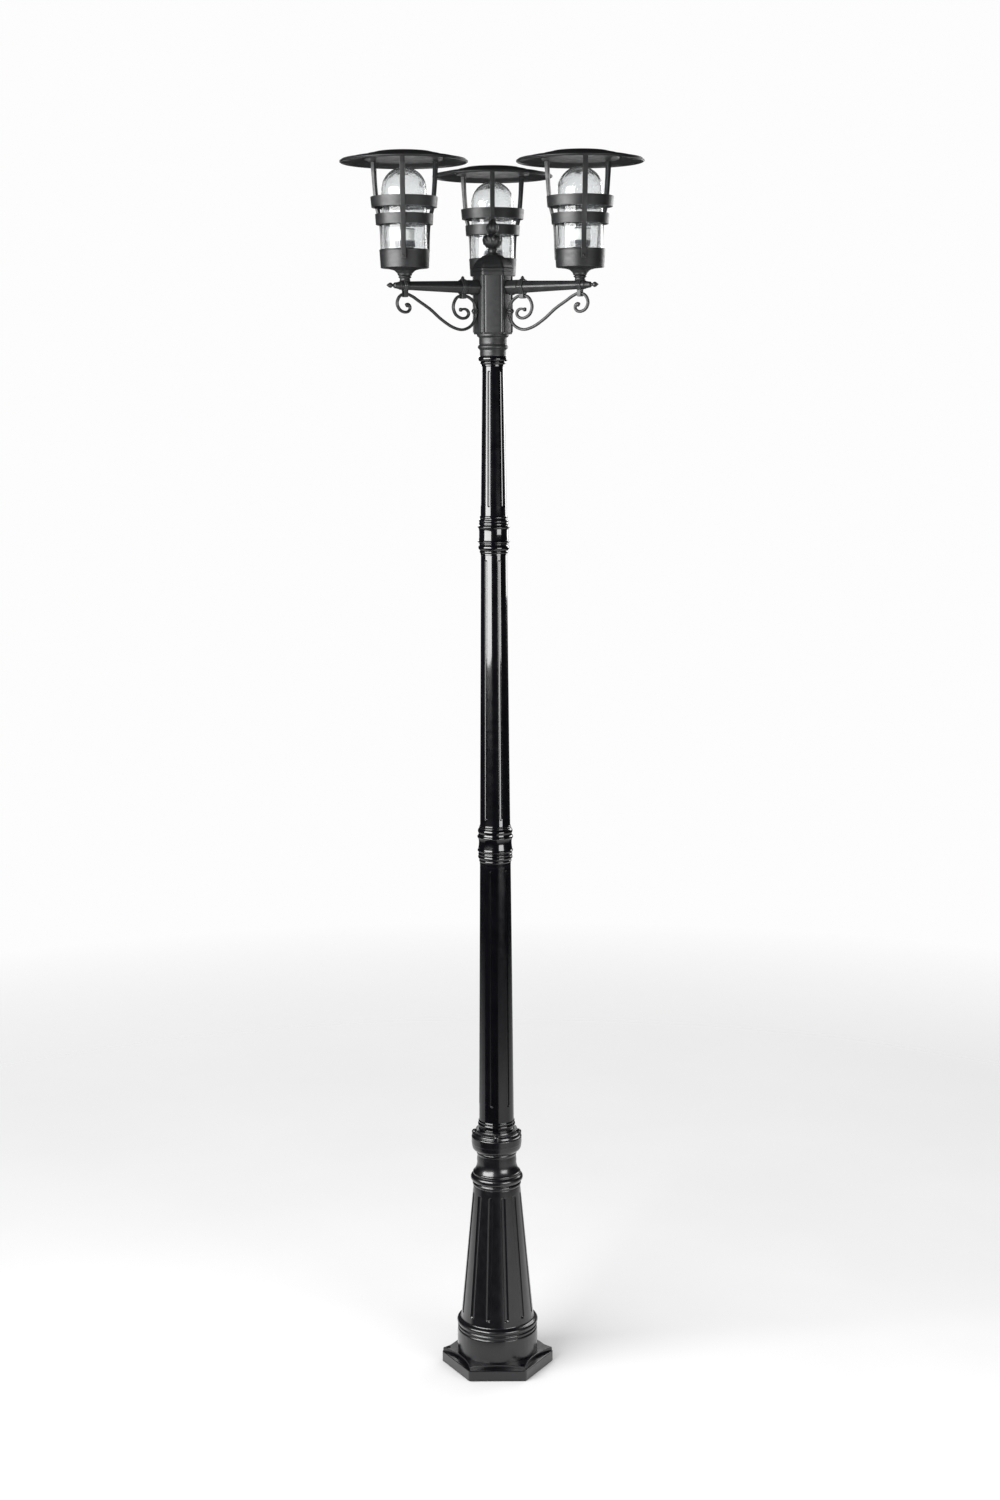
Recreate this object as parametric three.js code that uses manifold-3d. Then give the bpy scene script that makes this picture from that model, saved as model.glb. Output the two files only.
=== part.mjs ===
// A cast-metal street lamp post with three lanterns on scrolled arms.
// Millimetres, +Z up. The post's axis is Z, the ground is z = 0 and the front faces -Y.
import * as THREE from 'three';
import { mergeVertices } from 'three/addons/utils/BufferGeometryUtils.js';
import Module from 'manifold-3d';

const wasm = await Module();
wasm.setup();

// Driving dimensions
const GAP = 0.3; // clearance where two pieces meet
const ROUND_FACETS = 18; // sides of a turned piece of the post
const LANTERN_FACETS = 16; // sides of a turned piece of a lantern
const SMALL_FACETS = 10; // sides of a small turned piece
const CURVE_STEPS = 3; // straight stretches in each curve of a turned outline
const WALL = 5; // wall of the hollow castings
const NECK_BORE = 34; // bore through the pedestal's neck and the collar

const FOOT_CORNER = 125; // hexagonal foot, centre to corner
const FOOT_HEIGHT = 24; // upright sides of the foot
const PAD_HEIGHT = 36; // top of the pads at the foot's corners
const PAD_WAIST = 93; // centre to the middle of each hollow between two pads
const ANCHOR_CIRCLE = 110; // radius through the anchor holes
const ANCHOR_HOLE = 5.5; // radius of an anchor hole
const CABLE_HOLE = 12; // radius of the cable entry in the foot
const PEDESTAL_FLUTES = 12;
const SHAFT_FLUTES = 6;
const ROD_RADIUS = 6; // the tie rod that clamps the post together
const ROD_SOCKET = 14; // height of the bottom of the rod's socket

// Heights where the sections of the post meet
const PEDESTAL_TOP = 491.7;
const COLLAR_TOP = 543;
const LOWER_SHAFT_TOP = 1136;
const LOWER_COUPLING_TOP = 1220;
const MIDDLE_SHAFT_TOP = 1803.5;
const UPPER_COUPLING_TOP = 1881;
const UPPER_SHAFT_TOP = 2196.2;
const TOP_COLLAR_TOP = 2217.5;

const HUB_CORNER = 41.5; // hexagonal hub, centre to corner
const HUB_FACE = HUB_CORNER * Math.cos(Math.PI / 6);
const HUB_BOTTOM = 2262;
const HUB_TOP = 2381;

const ARM_HEIGHT = 2357; // height of the arms' centre line
const LANTERN_REACH = 205; // from the post's axis to each lantern's axis
const INNER_CLIP = 71; // from the post's axis to the clip near the hub
const HUB_CLIP_HEIGHT = 2308.5;
const BAR_THICKNESS = 7; // scroll bar, in the plane of the scroll
const BAR_WIDTH = 8; // scroll bar, across that plane

const GLASS_RADIUS = 46;
const GLASS_WALL = 3;
const GLASS_BOTTOM = 2401.1;
const GLASS_SHOULDER = 2545;
const ROOF_RADIUS = 130;
const ROOF_RIM = 2602; // middle of the rolled rim
const ROOF_TOP = 2623;
const ROOF_SHEET = 3;
const TRAY_RADIUS = 79;
const TRAY_BOTTOM = 2604.6;
const CAGE_BARS = 3;
const CAGE_BAR_WIDTH = 10;

// The three arms and the turn of each lantern's cage about its own axis
const ARMS = [
  { side: 'right', azimuth: -30, cageTurn: -84 },
  { side: 'rear', azimuth: 90, cageTurn: -90 },
  { side: 'left', azimuth: 210, cageTurn: -90 },
];

// Finishes
const GLOSS_BLACK = new THREE.MeshStandardMaterial({
  color: 0x101016, roughness: 0.22, metalness: 0.3,
});
const SATIN_BLACK = new THREE.MeshStandardMaterial({
  color: 0x24262a, roughness: 0.5, metalness: 0.3,
});
const STEEL = new THREE.MeshStandardMaterial({
  color: 0x8c9094, roughness: 0.4, metalness: 0.9,
});
const CERAMIC = new THREE.MeshStandardMaterial({
  color: 0xe8e6de, roughness: 0.3, metalness: 0,
});
const DARK_PLASTIC = new THREE.MeshStandardMaterial({
  color: 0x202020, roughness: 0.6, metalness: 0,
});
const RUBBER = new THREE.MeshStandardMaterial({
  color: 0x161616, roughness: 0.85, metalness: 0,
});
const CLEAR_GLASS = new THREE.MeshStandardMaterial({
  color: 0xf2f6f6, roughness: 0.05, metalness: 0, transparent: true, opacity: 0.3,
});

const radians = THREE.MathUtils.degToRad;

// Solids: geometry in, geometry out, joined and cut in between
function toSolid(geometry) {
  const bare = geometry.clone();
  bare.deleteAttribute('normal');
  bare.deleteAttribute('uv');
  const merged = mergeVertices(bare, 1e-4);
  return new wasm.Manifold(new wasm.Mesh({
    numProp: 3,
    vertProperties: new Float32Array(merged.attributes.position.array),
    triVerts: new Uint32Array(merged.index.array),
  }));
}

function toGeometry(solid) {
  const mesh = solid.getMesh();
  const geometry = new THREE.BufferGeometry();
  geometry.setAttribute('position', new THREE.BufferAttribute(mesh.vertProperties, 3));
  geometry.setIndex(new THREE.BufferAttribute(mesh.triVerts, 1));
  geometry.computeVertexNormals();
  return geometry;
}

function join(geometries) {
  return toGeometry(geometries.map(toSolid).reduce((whole, next) => whole.add(next)));
}

function cut(geometry, cutters) {
  const solid = cutters.map(toSolid).reduce((left, next) => left.subtract(next), toSolid(geometry));
  return toGeometry(solid);
}

// A mesh whose faces point in is turned the right way out.
function facingOut(geometry) {
  const position = geometry.attributes.position;
  const order = geometry.index;
  const corners = [new THREE.Vector3(), new THREE.Vector3(), new THREE.Vector3()];
  let volume = 0;
  for (let i = 0; i < order.count; i += 3) {
    corners.forEach((corner, k) => corner.fromBufferAttribute(position, order.getX(i + k)));
    volume += corners[0].dot(corners[1].cross(corners[2]));
  }
  if (volume < 0) {
    for (let i = 0; i < order.count; i += 3) {
      const first = order.getX(i);
      order.setX(i, order.getX(i + 1));
      order.setX(i + 1, first);
    }
  }
  return geometry;
}

// Outlines are paths of (radius, height). A swell is a bead, or a hollow where reach is negative.
function outline(r, z) {
  const path = new THREE.Path();
  path.moveTo(r, z);
  return path;
}

function swell(path, r, z, reach) {
  const from = path.currentPoint;
  const middle = new THREE.Vector2((from.x + r) / 2 + 2 * reach, (from.y + z) / 2);
  path.quadraticCurveTo(middle.x, middle.y, r, z);
  return path;
}

function turned(path, facets, turn = 0) {
  const geometry = new THREE.LatheGeometry(path.getPoints(CURVE_STEPS), facets);
  geometry.rotateX(Math.PI / 2);
  geometry.rotateZ(turn);
  return facingOut(geometry);
}

// Closes a hollow casting's outline down a straight bore of the given radius.
function boredOut(path, bore, bottom) {
  const top = path.currentPoint.y;
  const start = path.getPoints(1)[0];
  path.lineTo(bore, top);
  path.lineTo(bore, bottom);
  path.lineTo(start.x, start.y);
  return path;
}

function box(width, depth, height, x, y, z) {
  const geometry = new THREE.BoxGeometry(width, depth, height);
  geometry.translate(x, y, z);
  return geometry;
}

function hole(radius, x, y, bottom, top) {
  const geometry = new THREE.CylinderGeometry(radius, radius, top - bottom, SMALL_FACETS);
  geometry.rotateX(Math.PI / 2);
  geometry.translate(x, y, (top + bottom) / 2);
  return geometry;
}

// A round-ended cutter that lies along a cone's slope and sinks in by depth.
function fluteCutter({ lowRadius, highRadius, low, high, width, depth }) {
  const length = Math.hypot(high - low, lowRadius - highRadius);
  const end = width / 2;
  const run = length / 2 - end;
  const shape = new THREE.Shape();
  shape.absarc(0, run, end, 0, Math.PI);
  shape.absarc(0, -run, end, Math.PI, 2 * Math.PI);
  const geometry = new THREE.ExtrudeGeometry(shape, {
    depth: 2 * depth, bevelEnabled: false, curveSegments: 2,
  });
  geometry.translate(0, 0, -depth);
  const lean = Math.atan2(lowRadius - highRadius, high - low);
  const across = new THREE.Vector3(0, 1, 0);
  const up = new THREE.Vector3(-Math.sin(lean), 0, Math.cos(lean));
  const out = new THREE.Vector3(Math.cos(lean), 0, Math.sin(lean));
  geometry.applyMatrix4(new THREE.Matrix4().makeBasis(across, up, out));
  geometry.translate((lowRadius + highRadius) / 2, 0, (low + high) / 2);
  return geometry;
}

function around(count, firstAngle, make) {
  return Array.from({ length: count }, (unused, i) => {
    const geometry = make();
    geometry.rotateZ(radians(firstAngle) + (2 * Math.PI * i) / count);
    return geometry;
  });
}

// The foot and pedestal: one hollow casting
function footPlate() {
  const blunt = 3; // half the width of each blunted corner
  const corners = [];
  for (let i = 0; i < 6; i += 1) {
    for (const side of [-blunt, blunt]) {
      const angle = (Math.PI / 3) * i + side / FOOT_CORNER;
      const reach = FOOT_CORNER - blunt / 2;
      corners.push(new THREE.Vector2(reach * Math.cos(angle), reach * Math.sin(angle)));
    }
  }
  const shape = new THREE.Shape(corners);
  return new THREE.ExtrudeGeometry(shape, { depth: FOOT_HEIGHT, bevelEnabled: false });
}

// Six pointed pads joined by hollow sides, on top of the foot plate
function cornerPads() {
  const tip = FOOT_CORNER - 4;
  const pull = 2 * PAD_WAIST - tip * Math.cos(Math.PI / 6);
  const at = (radius, angle) => new THREE.Vector2(radius * Math.cos(angle), radius * Math.sin(angle));
  const shape = new THREE.Shape();
  shape.moveTo(tip, 0);
  for (let i = 0; i < 6; i += 1) {
    const middle = at(pull, (Math.PI / 3) * (i + 0.5));
    const next = at(tip, (Math.PI / 3) * (i + 1));
    shape.quadraticCurveTo(middle.x, middle.y, next.x, next.y);
  }
  const geometry = new THREE.ExtrudeGeometry(shape, {
    depth: PAD_HEIGHT - FOOT_HEIGHT + 1, bevelEnabled: false, curveSegments: 4,
  });
  geometry.translate(0, 0, FOOT_HEIGHT - 1);
  return geometry;
}

function pedestal() {
  const coneLow = { r: 79.6, z: 118 };
  const coneHigh = { r: 52.6, z: 406 };
  const path = outline(0, 10);
  path.lineTo(88, 10);
  path.lineTo(89, 52);
  path.lineTo(88.6, 68);
  path.lineTo(86.2, 82);
  path.lineTo(86.6, 89);
  swell(path, 84.5, 103, 3.2);
  swell(path, coneLow.r, coneLow.z, -0.8);
  path.lineTo(coneHigh.r, coneHigh.z);
  swell(path, 52.4, 424, 1.2);
  swell(path, 53.4, 441, 4.6);
  swell(path, 43.4, 473, -3);
  path.lineTo(42.2, PEDESTAL_TOP);
  path.lineTo(NECK_BORE, PEDESTAL_TOP);
  path.lineTo(NECK_BORE, 440);
  path.lineTo(coneHigh.r - 2 * WALL, 404);
  path.lineTo(coneLow.r - 2 * WALL, 110);
  path.lineTo(78, 60);
  path.lineTo(78, 12);
  path.lineTo(17, 12);
  path.lineTo(15, 32);
  path.lineTo(0, 32);
  const slope = (coneLow.r - coneHigh.r) / (coneHigh.z - coneLow.z);
  const radiusAt = (z) => coneLow.r + slope * (coneLow.z - z);
  const low = 107;
  const high = 384;
  const flutes = around(PEDESTAL_FLUTES, 15, () => fluteCutter({
    lowRadius: radiusAt(low), highRadius: radiusAt(high), low, high, width: 10.5, depth: 3,
  }));
  const anchors = around(3, 60, () => hole(ANCHOR_HOLE, ANCHOR_CIRCLE, 0, -1, PAD_HEIGHT + 1));
  const rodSocket = hole(ROD_RADIUS + GAP, 0, 0, ROD_SOCKET, 40);
  const cableEntry = hole(CABLE_HOLE, 0, 45, -1, 20);
  const body = join([turned(path, ROUND_FACETS), footPlate(), cornerPads()]);
  return cut(body, [...flutes, ...anchors, rodSocket, cableEntry]);
}

// The lobed ring where the post stands on the pedestal
function baseCollar() {
  const bottom = PEDESTAL_TOP + GAP;
  const path = outline(43.5, bottom);
  swell(path, 53.5, 506, 2);
  path.lineTo(53.8, 524);
  swell(path, 46.5, 536, 1.4);
  path.lineTo(45.5, COLLAR_TOP);
  boredOut(path, NECK_BORE, bottom);
  const lug = () => {
    const block = new THREE.CylinderGeometry(5, 6, 16, 8);
    block.rotateX(Math.PI / 2);
    block.translate(47.6, 0, 535);
    return block;
  };
  return join([turned(path, ROUND_FACETS), ...around(4, 0, lug)]);
}

// A tapered, fluted length of the post
function shaft({ below, top, lowRadius, highRadius, ring, fluteLow, fluteHigh, turn }) {
  const bottom = below + GAP;
  const path = outline(ring - 1.6, bottom);
  swell(path, ring - 1.6, bottom + 6, 0.4);
  swell(path, lowRadius + 0.3, bottom + 16, 1.6);
  path.lineTo(lowRadius, bottom + 22);
  path.lineTo(highRadius, top);
  boredOut(path, highRadius - WALL, bottom);
  const slope = (lowRadius - highRadius) / (top - bottom - 22);
  const radiusAt = (z) => highRadius + slope * (top - z);
  const flutes = around(SHAFT_FLUTES, turn - 90, () => fluteCutter({
    lowRadius: radiusAt(fluteLow),
    highRadius: radiusAt(fluteHigh),
    low: fluteLow,
    high: fluteHigh,
    width: 6.2,
    depth: 2.4,
  }));
  return cut(turned(path, ROUND_FACETS), flutes);
}

// A threaded coupling with beads above and below a waisted barrel
function coupling(below, top, waist, bead) {
  const bottom = below + GAP;
  const height = top - bottom;
  const at = (share) => bottom + share * height;
  const path = outline(waist - 1.3, bottom);
  swell(path, waist - 1.2, at(0.15), 0.9);
  swell(path, waist - 0.4, at(0.32), 1.6);
  swell(path, waist, at(0.47), 2.4);
  swell(path, waist, at(0.68), -0.5);
  swell(path, waist - 0.4, at(0.82), 2.6);
  swell(path, waist - 1.3, top, bead);
  return turned(boredOut(path, waist - 9, bottom), ROUND_FACETS);
}

function postTopCollar() {
  const bottom = UPPER_SHAFT_TOP + GAP;
  const path = outline(23.4, bottom);
  swell(path, 24.2, 2203, 1);
  swell(path, 25.6, TOP_COLLAR_TOP, 4.2);
  return turned(boredOut(path, 17, bottom), ROUND_FACETS);
}

function hubNeck() {
  const bottom = TOP_COLLAR_TOP + GAP;
  const path = outline(26.2, bottom);
  path.lineTo(27, 2231);
  swell(path, 28.4, 2242, 2.6);
  path.lineTo(28.4, 2253);
  swell(path, 32.5, HUB_BOTTOM - GAP, -1);
  return turned(boredOut(path, 17, bottom), ROUND_FACETS);
}

function hub() {
  const path = outline(HUB_CORNER, HUB_BOTTOM);
  path.lineTo(HUB_CORNER, HUB_TOP);
  path.lineTo(HUB_CORNER - WALL, HUB_TOP);
  path.lineTo(HUB_CORNER - WALL, HUB_BOTTOM + 6);
  path.lineTo(9, HUB_BOTTOM + 6);
  path.lineTo(9, HUB_BOTTOM);
  path.lineTo(HUB_CORNER, HUB_BOTTOM);
  return turned(path, 6, Math.PI / 6);
}

// Six-sided ogee cap over the hub
function hubCap() {
  const bottom = HUB_TOP + GAP;
  const path = outline(0, bottom);
  path.lineTo(43.5, bottom);
  path.lineTo(44.5, 2385);
  path.lineTo(44, 2392);
  path.lineTo(41, 2395);
  path.bezierCurveTo(36, 2408, 24, 2414, 14, 2419);
  path.lineTo(0, 2419);
  const neck = outline(0, 2415);
  neck.lineTo(13.5, 2415);
  swell(neck, 9.6, 2426, 0.4);
  neck.lineTo(9.6, 2431);
  swell(neck, 9.6, 2436, 1.2);
  neck.lineTo(0, 2436);
  return join([turned(path, 6, Math.PI / 6), turned(neck, SMALL_FACETS)]);
}

// Pine cone and spear
function finial() {
  const path = outline(0, 2436.3);
  path.lineTo(8, 2436.3);
  swell(path, 17, 2442, -0.6);
  swell(path, 18, 2460, 2.6);
  path.lineTo(8, 2463.5);
  path.lineTo(5.6, 2466);
  swell(path, 9, 2471, -0.4);
  swell(path, 8.4, 2482, 3.4);
  path.lineTo(0, 2497);
  return turned(path, SMALL_FACETS);
}

function tieRod() {
  return hole(ROD_RADIUS, 0, 0, ROD_SOCKET + GAP, HUB_BOTTOM + 28);
}

function tieRodNut() {
  const sixSided = 1 / Math.cos(Math.PI / 6);
  const path = outline(12, HUB_BOTTOM + 6 + GAP);
  path.lineTo(12, HUB_BOTTOM + 16);
  boredOut(path, (ROD_RADIUS + GAP) * sixSided, HUB_BOTTOM + 6 + GAP);
  return turned(path, 6);
}

function terminalBlock() {
  return box(30, 12, 22, 0, 22, HUB_BOTTOM + 6 + GAP + 11);
}

// Arms lie along +X of their own group: X is the reach from the post's axis.
function alongX(path) {
  const geometry = turned(path, 6);
  geometry.rotateY(Math.PI / 2);
  return geometry;
}

// Six-sided bar with flats above and below; outline points are (half height, reach).
function armOutline(extra) {
  const corner = 1 / Math.cos(Math.PI / 6);
  const points = [
    [13.5, HUB_FACE + GAP], [13.5, 63], [11.8, 66], [7.7, 200], [7.7, 216], [6.9, 218],
    [5.4, 229], [2.6, 231.5], [2.6, 233.5], [5.2, 237], [5.2, 240.5],
  ];
  const path = outline(0, HUB_FACE + GAP);
  points.forEach(([half, reach]) => path.lineTo((half + extra) * corner, reach));
  path.lineTo(0, 248 + extra);
  return path;
}

function arm() {
  const geometry = alongX(armOutline(0));
  geometry.translate(0, 0, ARM_HEIGHT);
  return geometry;
}

// The scroll's centre line as (reach, height), from the outer curl to the inner one
const SCROLL = [
  [203.5, 2316], [199.5, 2318.8], [195.2, 2316.6], [194.2, 2311], [198, 2305.8], [205.5, 2304],
  [217, 2308.5], [223.4, 2321], [218, 2335], [205, 2340.8], [190, 2336.5], [174, 2327],
  [147, 2310.5], [122, 2291], [94, 2275], [72, 2270.6], [53, 2278], [42.2, 2293], [40.2, 2309],
  [45, 2326.5], [56.5, 2336.2], [71, 2339.6], [85, 2335.2], [93.6, 2318], [88, 2301.4],
  [73, 2293.6], [61, 2296.6], [57.4, 2304], [61.4, 2310.6], [68, 2312.6], [75, 2311],
];

function scrollBar(thickness, width) {
  const points = SCROLL.map(([reach, height]) => new THREE.Vector3(reach, 0, height));
  const section = new THREE.Shape([
    new THREE.Vector2(-width / 2, -thickness / 2),
    new THREE.Vector2(width / 2, -thickness / 2),
    new THREE.Vector2(width / 2, thickness / 2),
    new THREE.Vector2(-width / 2, thickness / 2),
  ]);
  return facingOut(indexed(new THREE.ExtrudeGeometry(section, {
    steps: 56, extrudePath: new THREE.CatmullRomCurve3(points), bevelEnabled: false,
  })));
}

function indexed(geometry) {
  geometry.deleteAttribute('normal');
  geometry.deleteAttribute('uv');
  return mergeVertices(geometry, 1e-4);
}

function scroll() {
  return scrollBar(BAR_THICKNESS, BAR_WIDTH);
}

const SCROLL_ROOM = scrollBar(BAR_THICKNESS + 2 * GAP, BAR_WIDTH + 2 * GAP);

// A band round the arm with a loop below it that holds the scroll
function armClip(reach, length, halfHeight, loopBottom) {
  const corner = 1 / Math.cos(Math.PI / 6);
  const band = (half, from, to) => {
    const path = outline(0, from);
    path.lineTo(half * corner, from);
    path.lineTo(half * corner, to);
    path.lineTo(0, to);
    const geometry = alongX(path);
    geometry.translate(0, 0, ARM_HEIGHT);
    return geometry;
  };
  const low = reach - length / 2;
  const high = reach + length / 2;
  const loopHeight = ARM_HEIGHT - loopBottom;
  const loop = box(length, BAR_WIDTH + 5, loopHeight, reach, 0, loopBottom + loopHeight / 2);
  const room = alongX(armOutline(GAP));
  room.translate(0, 0, ARM_HEIGHT);
  return cut(join([band(halfHeight + 2, low, high), loop]), [room, SCROLL_ROOM]);
}

function hubClip() {
  const from = HUB_FACE + GAP;
  const to = 46.5;
  const block = box(to - from, BAR_WIDTH + 5, 9, (from + to) / 2, 0, HUB_CLIP_HEIGHT);
  const point = new THREE.ConeGeometry(4.5, 5, 8);
  point.rotateZ(-Math.PI / 2);
  point.translate(to + 2, 0, HUB_CLIP_HEIGHT);
  return cut(join([block, point]), [SCROLL_ROOM]);
}

function clipBolt() {
  const bottom = ARM_HEIGHT + 11.7 + 2 + GAP;
  const path = outline(0, bottom);
  path.lineTo(5.5, bottom);
  path.lineTo(5.5, bottom + 2.5);
  path.lineTo(2.6, bottom + 6);
  path.lineTo(0, bottom + 7.5);
  return turned(path, 8);
}

// Lantern pieces stand on the axis of their own group.
function stem() {
  const bottom = ARM_HEIGHT + 7.7 + 2 + GAP;
  const path = outline(0, bottom);
  path.lineTo(11, bottom);
  path.lineTo(11, 2371.5);
  swell(path, 11.8, 2376, 2.4);
  path.lineTo(0, 2376);
  return turned(path, SMALL_FACETS);
}

function cup() {
  const path = outline(0, 2376.3);
  path.lineTo(13.2, 2376.3);
  path.bezierCurveTo(17, 2386, 32, 2389.5, 47.5, 2391.5);
  path.lineTo(49, 2393);
  path.lineTo(51, 2426.5);
  path.lineTo(49.5, 2428);
  path.lineTo(47.6, 2427);
  path.lineTo(46.8, 2398);
  path.lineTo(0, 2398);
  return turned(path, LANTERN_FACETS);
}

function gasket() {
  const path = outline(46, 2398 + GAP);
  path.lineTo(46, GLASS_BOTTOM - GAP);
  boredOut(path, 41, 2398 + GAP);
  return turned(path, LANTERN_FACETS);
}

function glass() {
  const path = outline(GLASS_RADIUS, GLASS_BOTTOM);
  path.lineTo(GLASS_RADIUS, GLASS_SHOULDER);
  const inner = GLASS_RADIUS - GLASS_WALL;
  path.absarc(0, GLASS_SHOULDER, GLASS_RADIUS, 0, Math.PI / 2);
  path.lineTo(0, GLASS_SHOULDER + inner);
  path.absarc(0, GLASS_SHOULDER, inner, Math.PI / 2, 0, true);
  path.lineTo(inner, GLASS_BOTTOM);
  path.lineTo(GLASS_RADIUS, GLASS_BOTTOM);
  return turned(path, LANTERN_FACETS);
}

function holderBase() {
  const path = outline(0, 2398 + GAP);
  path.lineTo(24, 2398 + GAP);
  path.lineTo(24, 2402);
  path.lineTo(17.5, 2405);
  path.lineTo(17.5, 2432);
  path.lineTo(0, 2432);
  return turned(path, SMALL_FACETS);
}

// The lamp screws into this one from above.
function lampHolder() {
  const path = outline(0, 2432 + GAP);
  path.lineTo(18.5, 2432 + GAP);
  path.lineTo(20.5, 2437);
  path.lineTo(20.5, 2469);
  path.lineTo(14, 2469);
  path.lineTo(13.6, 2442);
  path.lineTo(0, 2442);
  return turned(path, SMALL_FACETS + 4);
}

// Each cage bar's side view as (distance from the lantern's axis, height): the outside edge,
// then the inside edge back up, which stays clear of the cup.
function cageBar() {
  const outside = [
    [77, 2604.3], [74.2, 2570], [70.9, 2535], [66.6, 2510], [63.6, 2500], [57.9, 2478],
    [55.8, 2450], [55, 2425], [54, 2408],
  ];
  const inside = [
    [50.6, 2408], [51.5, 2428], [52, 2450], [53.6, 2476], [57.6, 2496], [61, 2509], [64.4, 2533],
    [67.6, 2570], [68.6, 2604.3],
  ];
  const shape = new THREE.Shape([...outside, ...inside].map(([r, z]) => new THREE.Vector2(r, z)));
  const geometry = new THREE.ExtrudeGeometry(shape, { depth: CAGE_BAR_WIDTH, bevelEnabled: false });
  geometry.translate(0, 0, -CAGE_BAR_WIDTH / 2);
  geometry.rotateX(Math.PI / 2);
  return geometry;
}

function cageRing(bottom, top, bottomRadius, topRadius) {
  const thickness = 3.6;
  const path = outline(bottomRadius, bottom);
  path.lineTo(topRadius, top);
  path.lineTo(topRadius - thickness, top);
  path.lineTo(bottomRadius - thickness, bottom);
  path.lineTo(bottomRadius, bottom);
  return turned(path, LANTERN_FACETS);
}

function cage() {
  const bars = around(CAGE_BARS, 0, cageBar);
  return join([...bars, cageRing(2511, 2532, 66, 68), cageRing(2477, 2498, 57.4, 58.8)]);
}

function roofTray() {
  const path = outline(0, TRAY_BOTTOM);
  path.lineTo(TRAY_RADIUS - 2, TRAY_BOTTOM);
  path.lineTo(TRAY_RADIUS, 2609);
  path.lineTo(TRAY_RADIUS - 3, 2609);
  path.lineTo(TRAY_RADIUS - 5, 2607.4);
  path.lineTo(0, 2607.4);
  return turned(path, LANTERN_FACETS);
}

function roof() {
  const path = outline(0, ROOF_TOP);
  path.lineTo(30, ROOF_TOP - 0.8);
  path.lineTo(58, 2619.6);
  path.lineTo(77, 2614.6);
  path.lineTo(81, 2612.6);
  path.lineTo(ROOF_RADIUS - 4, ROOF_RIM + 3);
  swell(path, ROOF_RADIUS - 1.4, ROOF_RIM - 2.6, 2);
  path.lineTo(ROOF_RADIUS - 5, ROOF_RIM - 0.6);
  path.lineTo(81, 2612.6 - ROOF_SHEET);
  path.lineTo(77, 2614.6 - ROOF_SHEET);
  path.lineTo(58, 2619.6 - ROOF_SHEET);
  path.lineTo(0, ROOF_TOP - ROOF_SHEET);
  return turned(path, ROUND_FACETS);
}

// Assembly
const post = new THREE.Group();

function add(parent, name, geometry, material) {
  const mesh = new THREE.Mesh(geometry, material);
  mesh.name = name;
  parent.add(mesh);
}

add(post, 'pedestal', pedestal(), GLOSS_BLACK);
add(post, 'base_collar', baseCollar(), GLOSS_BLACK);
add(post, 'lower_shaft', shaft({
  below: COLLAR_TOP, top: LOWER_SHAFT_TOP, lowRadius: 38.3, highRadius: 33.4, ring: 40.9,
  fluteLow: 600, fluteHigh: 1127, turn: -17,
}), GLOSS_BLACK);
add(post, 'lower_coupling', coupling(LOWER_SHAFT_TOP, LOWER_COUPLING_TOP, 35.1, 1.8), GLOSS_BLACK);
add(post, 'middle_shaft', shaft({
  below: LOWER_COUPLING_TOP, top: MIDDLE_SHAFT_TOP, lowRadius: 32.4, highRadius: 27.6, ring: 34.2,
  fluteLow: 1246, fluteHigh: 1794, turn: -37,
}), GLOSS_BLACK);
add(post, 'upper_coupling', coupling(MIDDLE_SHAFT_TOP, UPPER_COUPLING_TOP, 30.8, 1.2), GLOSS_BLACK);
add(post, 'upper_shaft', shaft({
  below: UPPER_COUPLING_TOP, top: UPPER_SHAFT_TOP, lowRadius: 27.6, highRadius: 22.8, ring: 29.2,
  fluteLow: 1905, fluteHigh: 2187, turn: -22,
}), GLOSS_BLACK);
add(post, 'post_top_collar', postTopCollar(), GLOSS_BLACK);
add(post, 'hub_neck', hubNeck(), SATIN_BLACK);
add(post, 'hub', hub(), SATIN_BLACK);
add(post, 'hub_cap', hubCap(), SATIN_BLACK);
add(post, 'finial', finial(), SATIN_BLACK);
add(post, 'tie_rod', tieRod(), STEEL);
add(post, 'tie_rod_nut', tieRodNut(), STEEL);
add(post, 'terminal_block', terminalBlock(), DARK_PLASTIC);

function armGroup({ side, azimuth }) {
  const group = new THREE.Group();
  group.rotation.z = radians(azimuth);
  add(group, `${side}_arm`, arm(), SATIN_BLACK);
  add(group, `${side}_scroll`, scroll(), SATIN_BLACK);
  add(group, `${side}_inner_clip`, armClip(INNER_CLIP, 12, 11.7, 2333.5), SATIN_BLACK);
  add(group, `${side}_outer_clip`, armClip(LANTERN_REACH, 10, 7.7, 2334), SATIN_BLACK);
  add(group, `${side}_hub_clip`, hubClip(), SATIN_BLACK);
  const bolt = clipBolt();
  bolt.translate(INNER_CLIP, 0, 0);
  add(group, `${side}_clip_bolt`, bolt, SATIN_BLACK);
  return group;
}

function lanternGroup({ side, azimuth, cageTurn }) {
  const group = new THREE.Group();
  const angle = radians(azimuth);
  group.position.set(LANTERN_REACH * Math.cos(angle), LANTERN_REACH * Math.sin(angle), 0);
  group.rotation.z = radians(cageTurn);
  add(group, `${side}_stem`, stem(), SATIN_BLACK);
  add(group, `${side}_cup`, cup(), SATIN_BLACK);
  add(group, `${side}_gasket`, gasket(), RUBBER);
  add(group, `${side}_glass`, glass(), CLEAR_GLASS);
  add(group, `${side}_holder_base`, holderBase(), DARK_PLASTIC);
  add(group, `${side}_lamp_holder`, lampHolder(), CERAMIC);
  add(group, `${side}_cage`, cage(), SATIN_BLACK);
  add(group, `${side}_roof_tray`, roofTray(), SATIN_BLACK);
  add(group, `${side}_roof`, roof(), SATIN_BLACK);
  return group;
}

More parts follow.
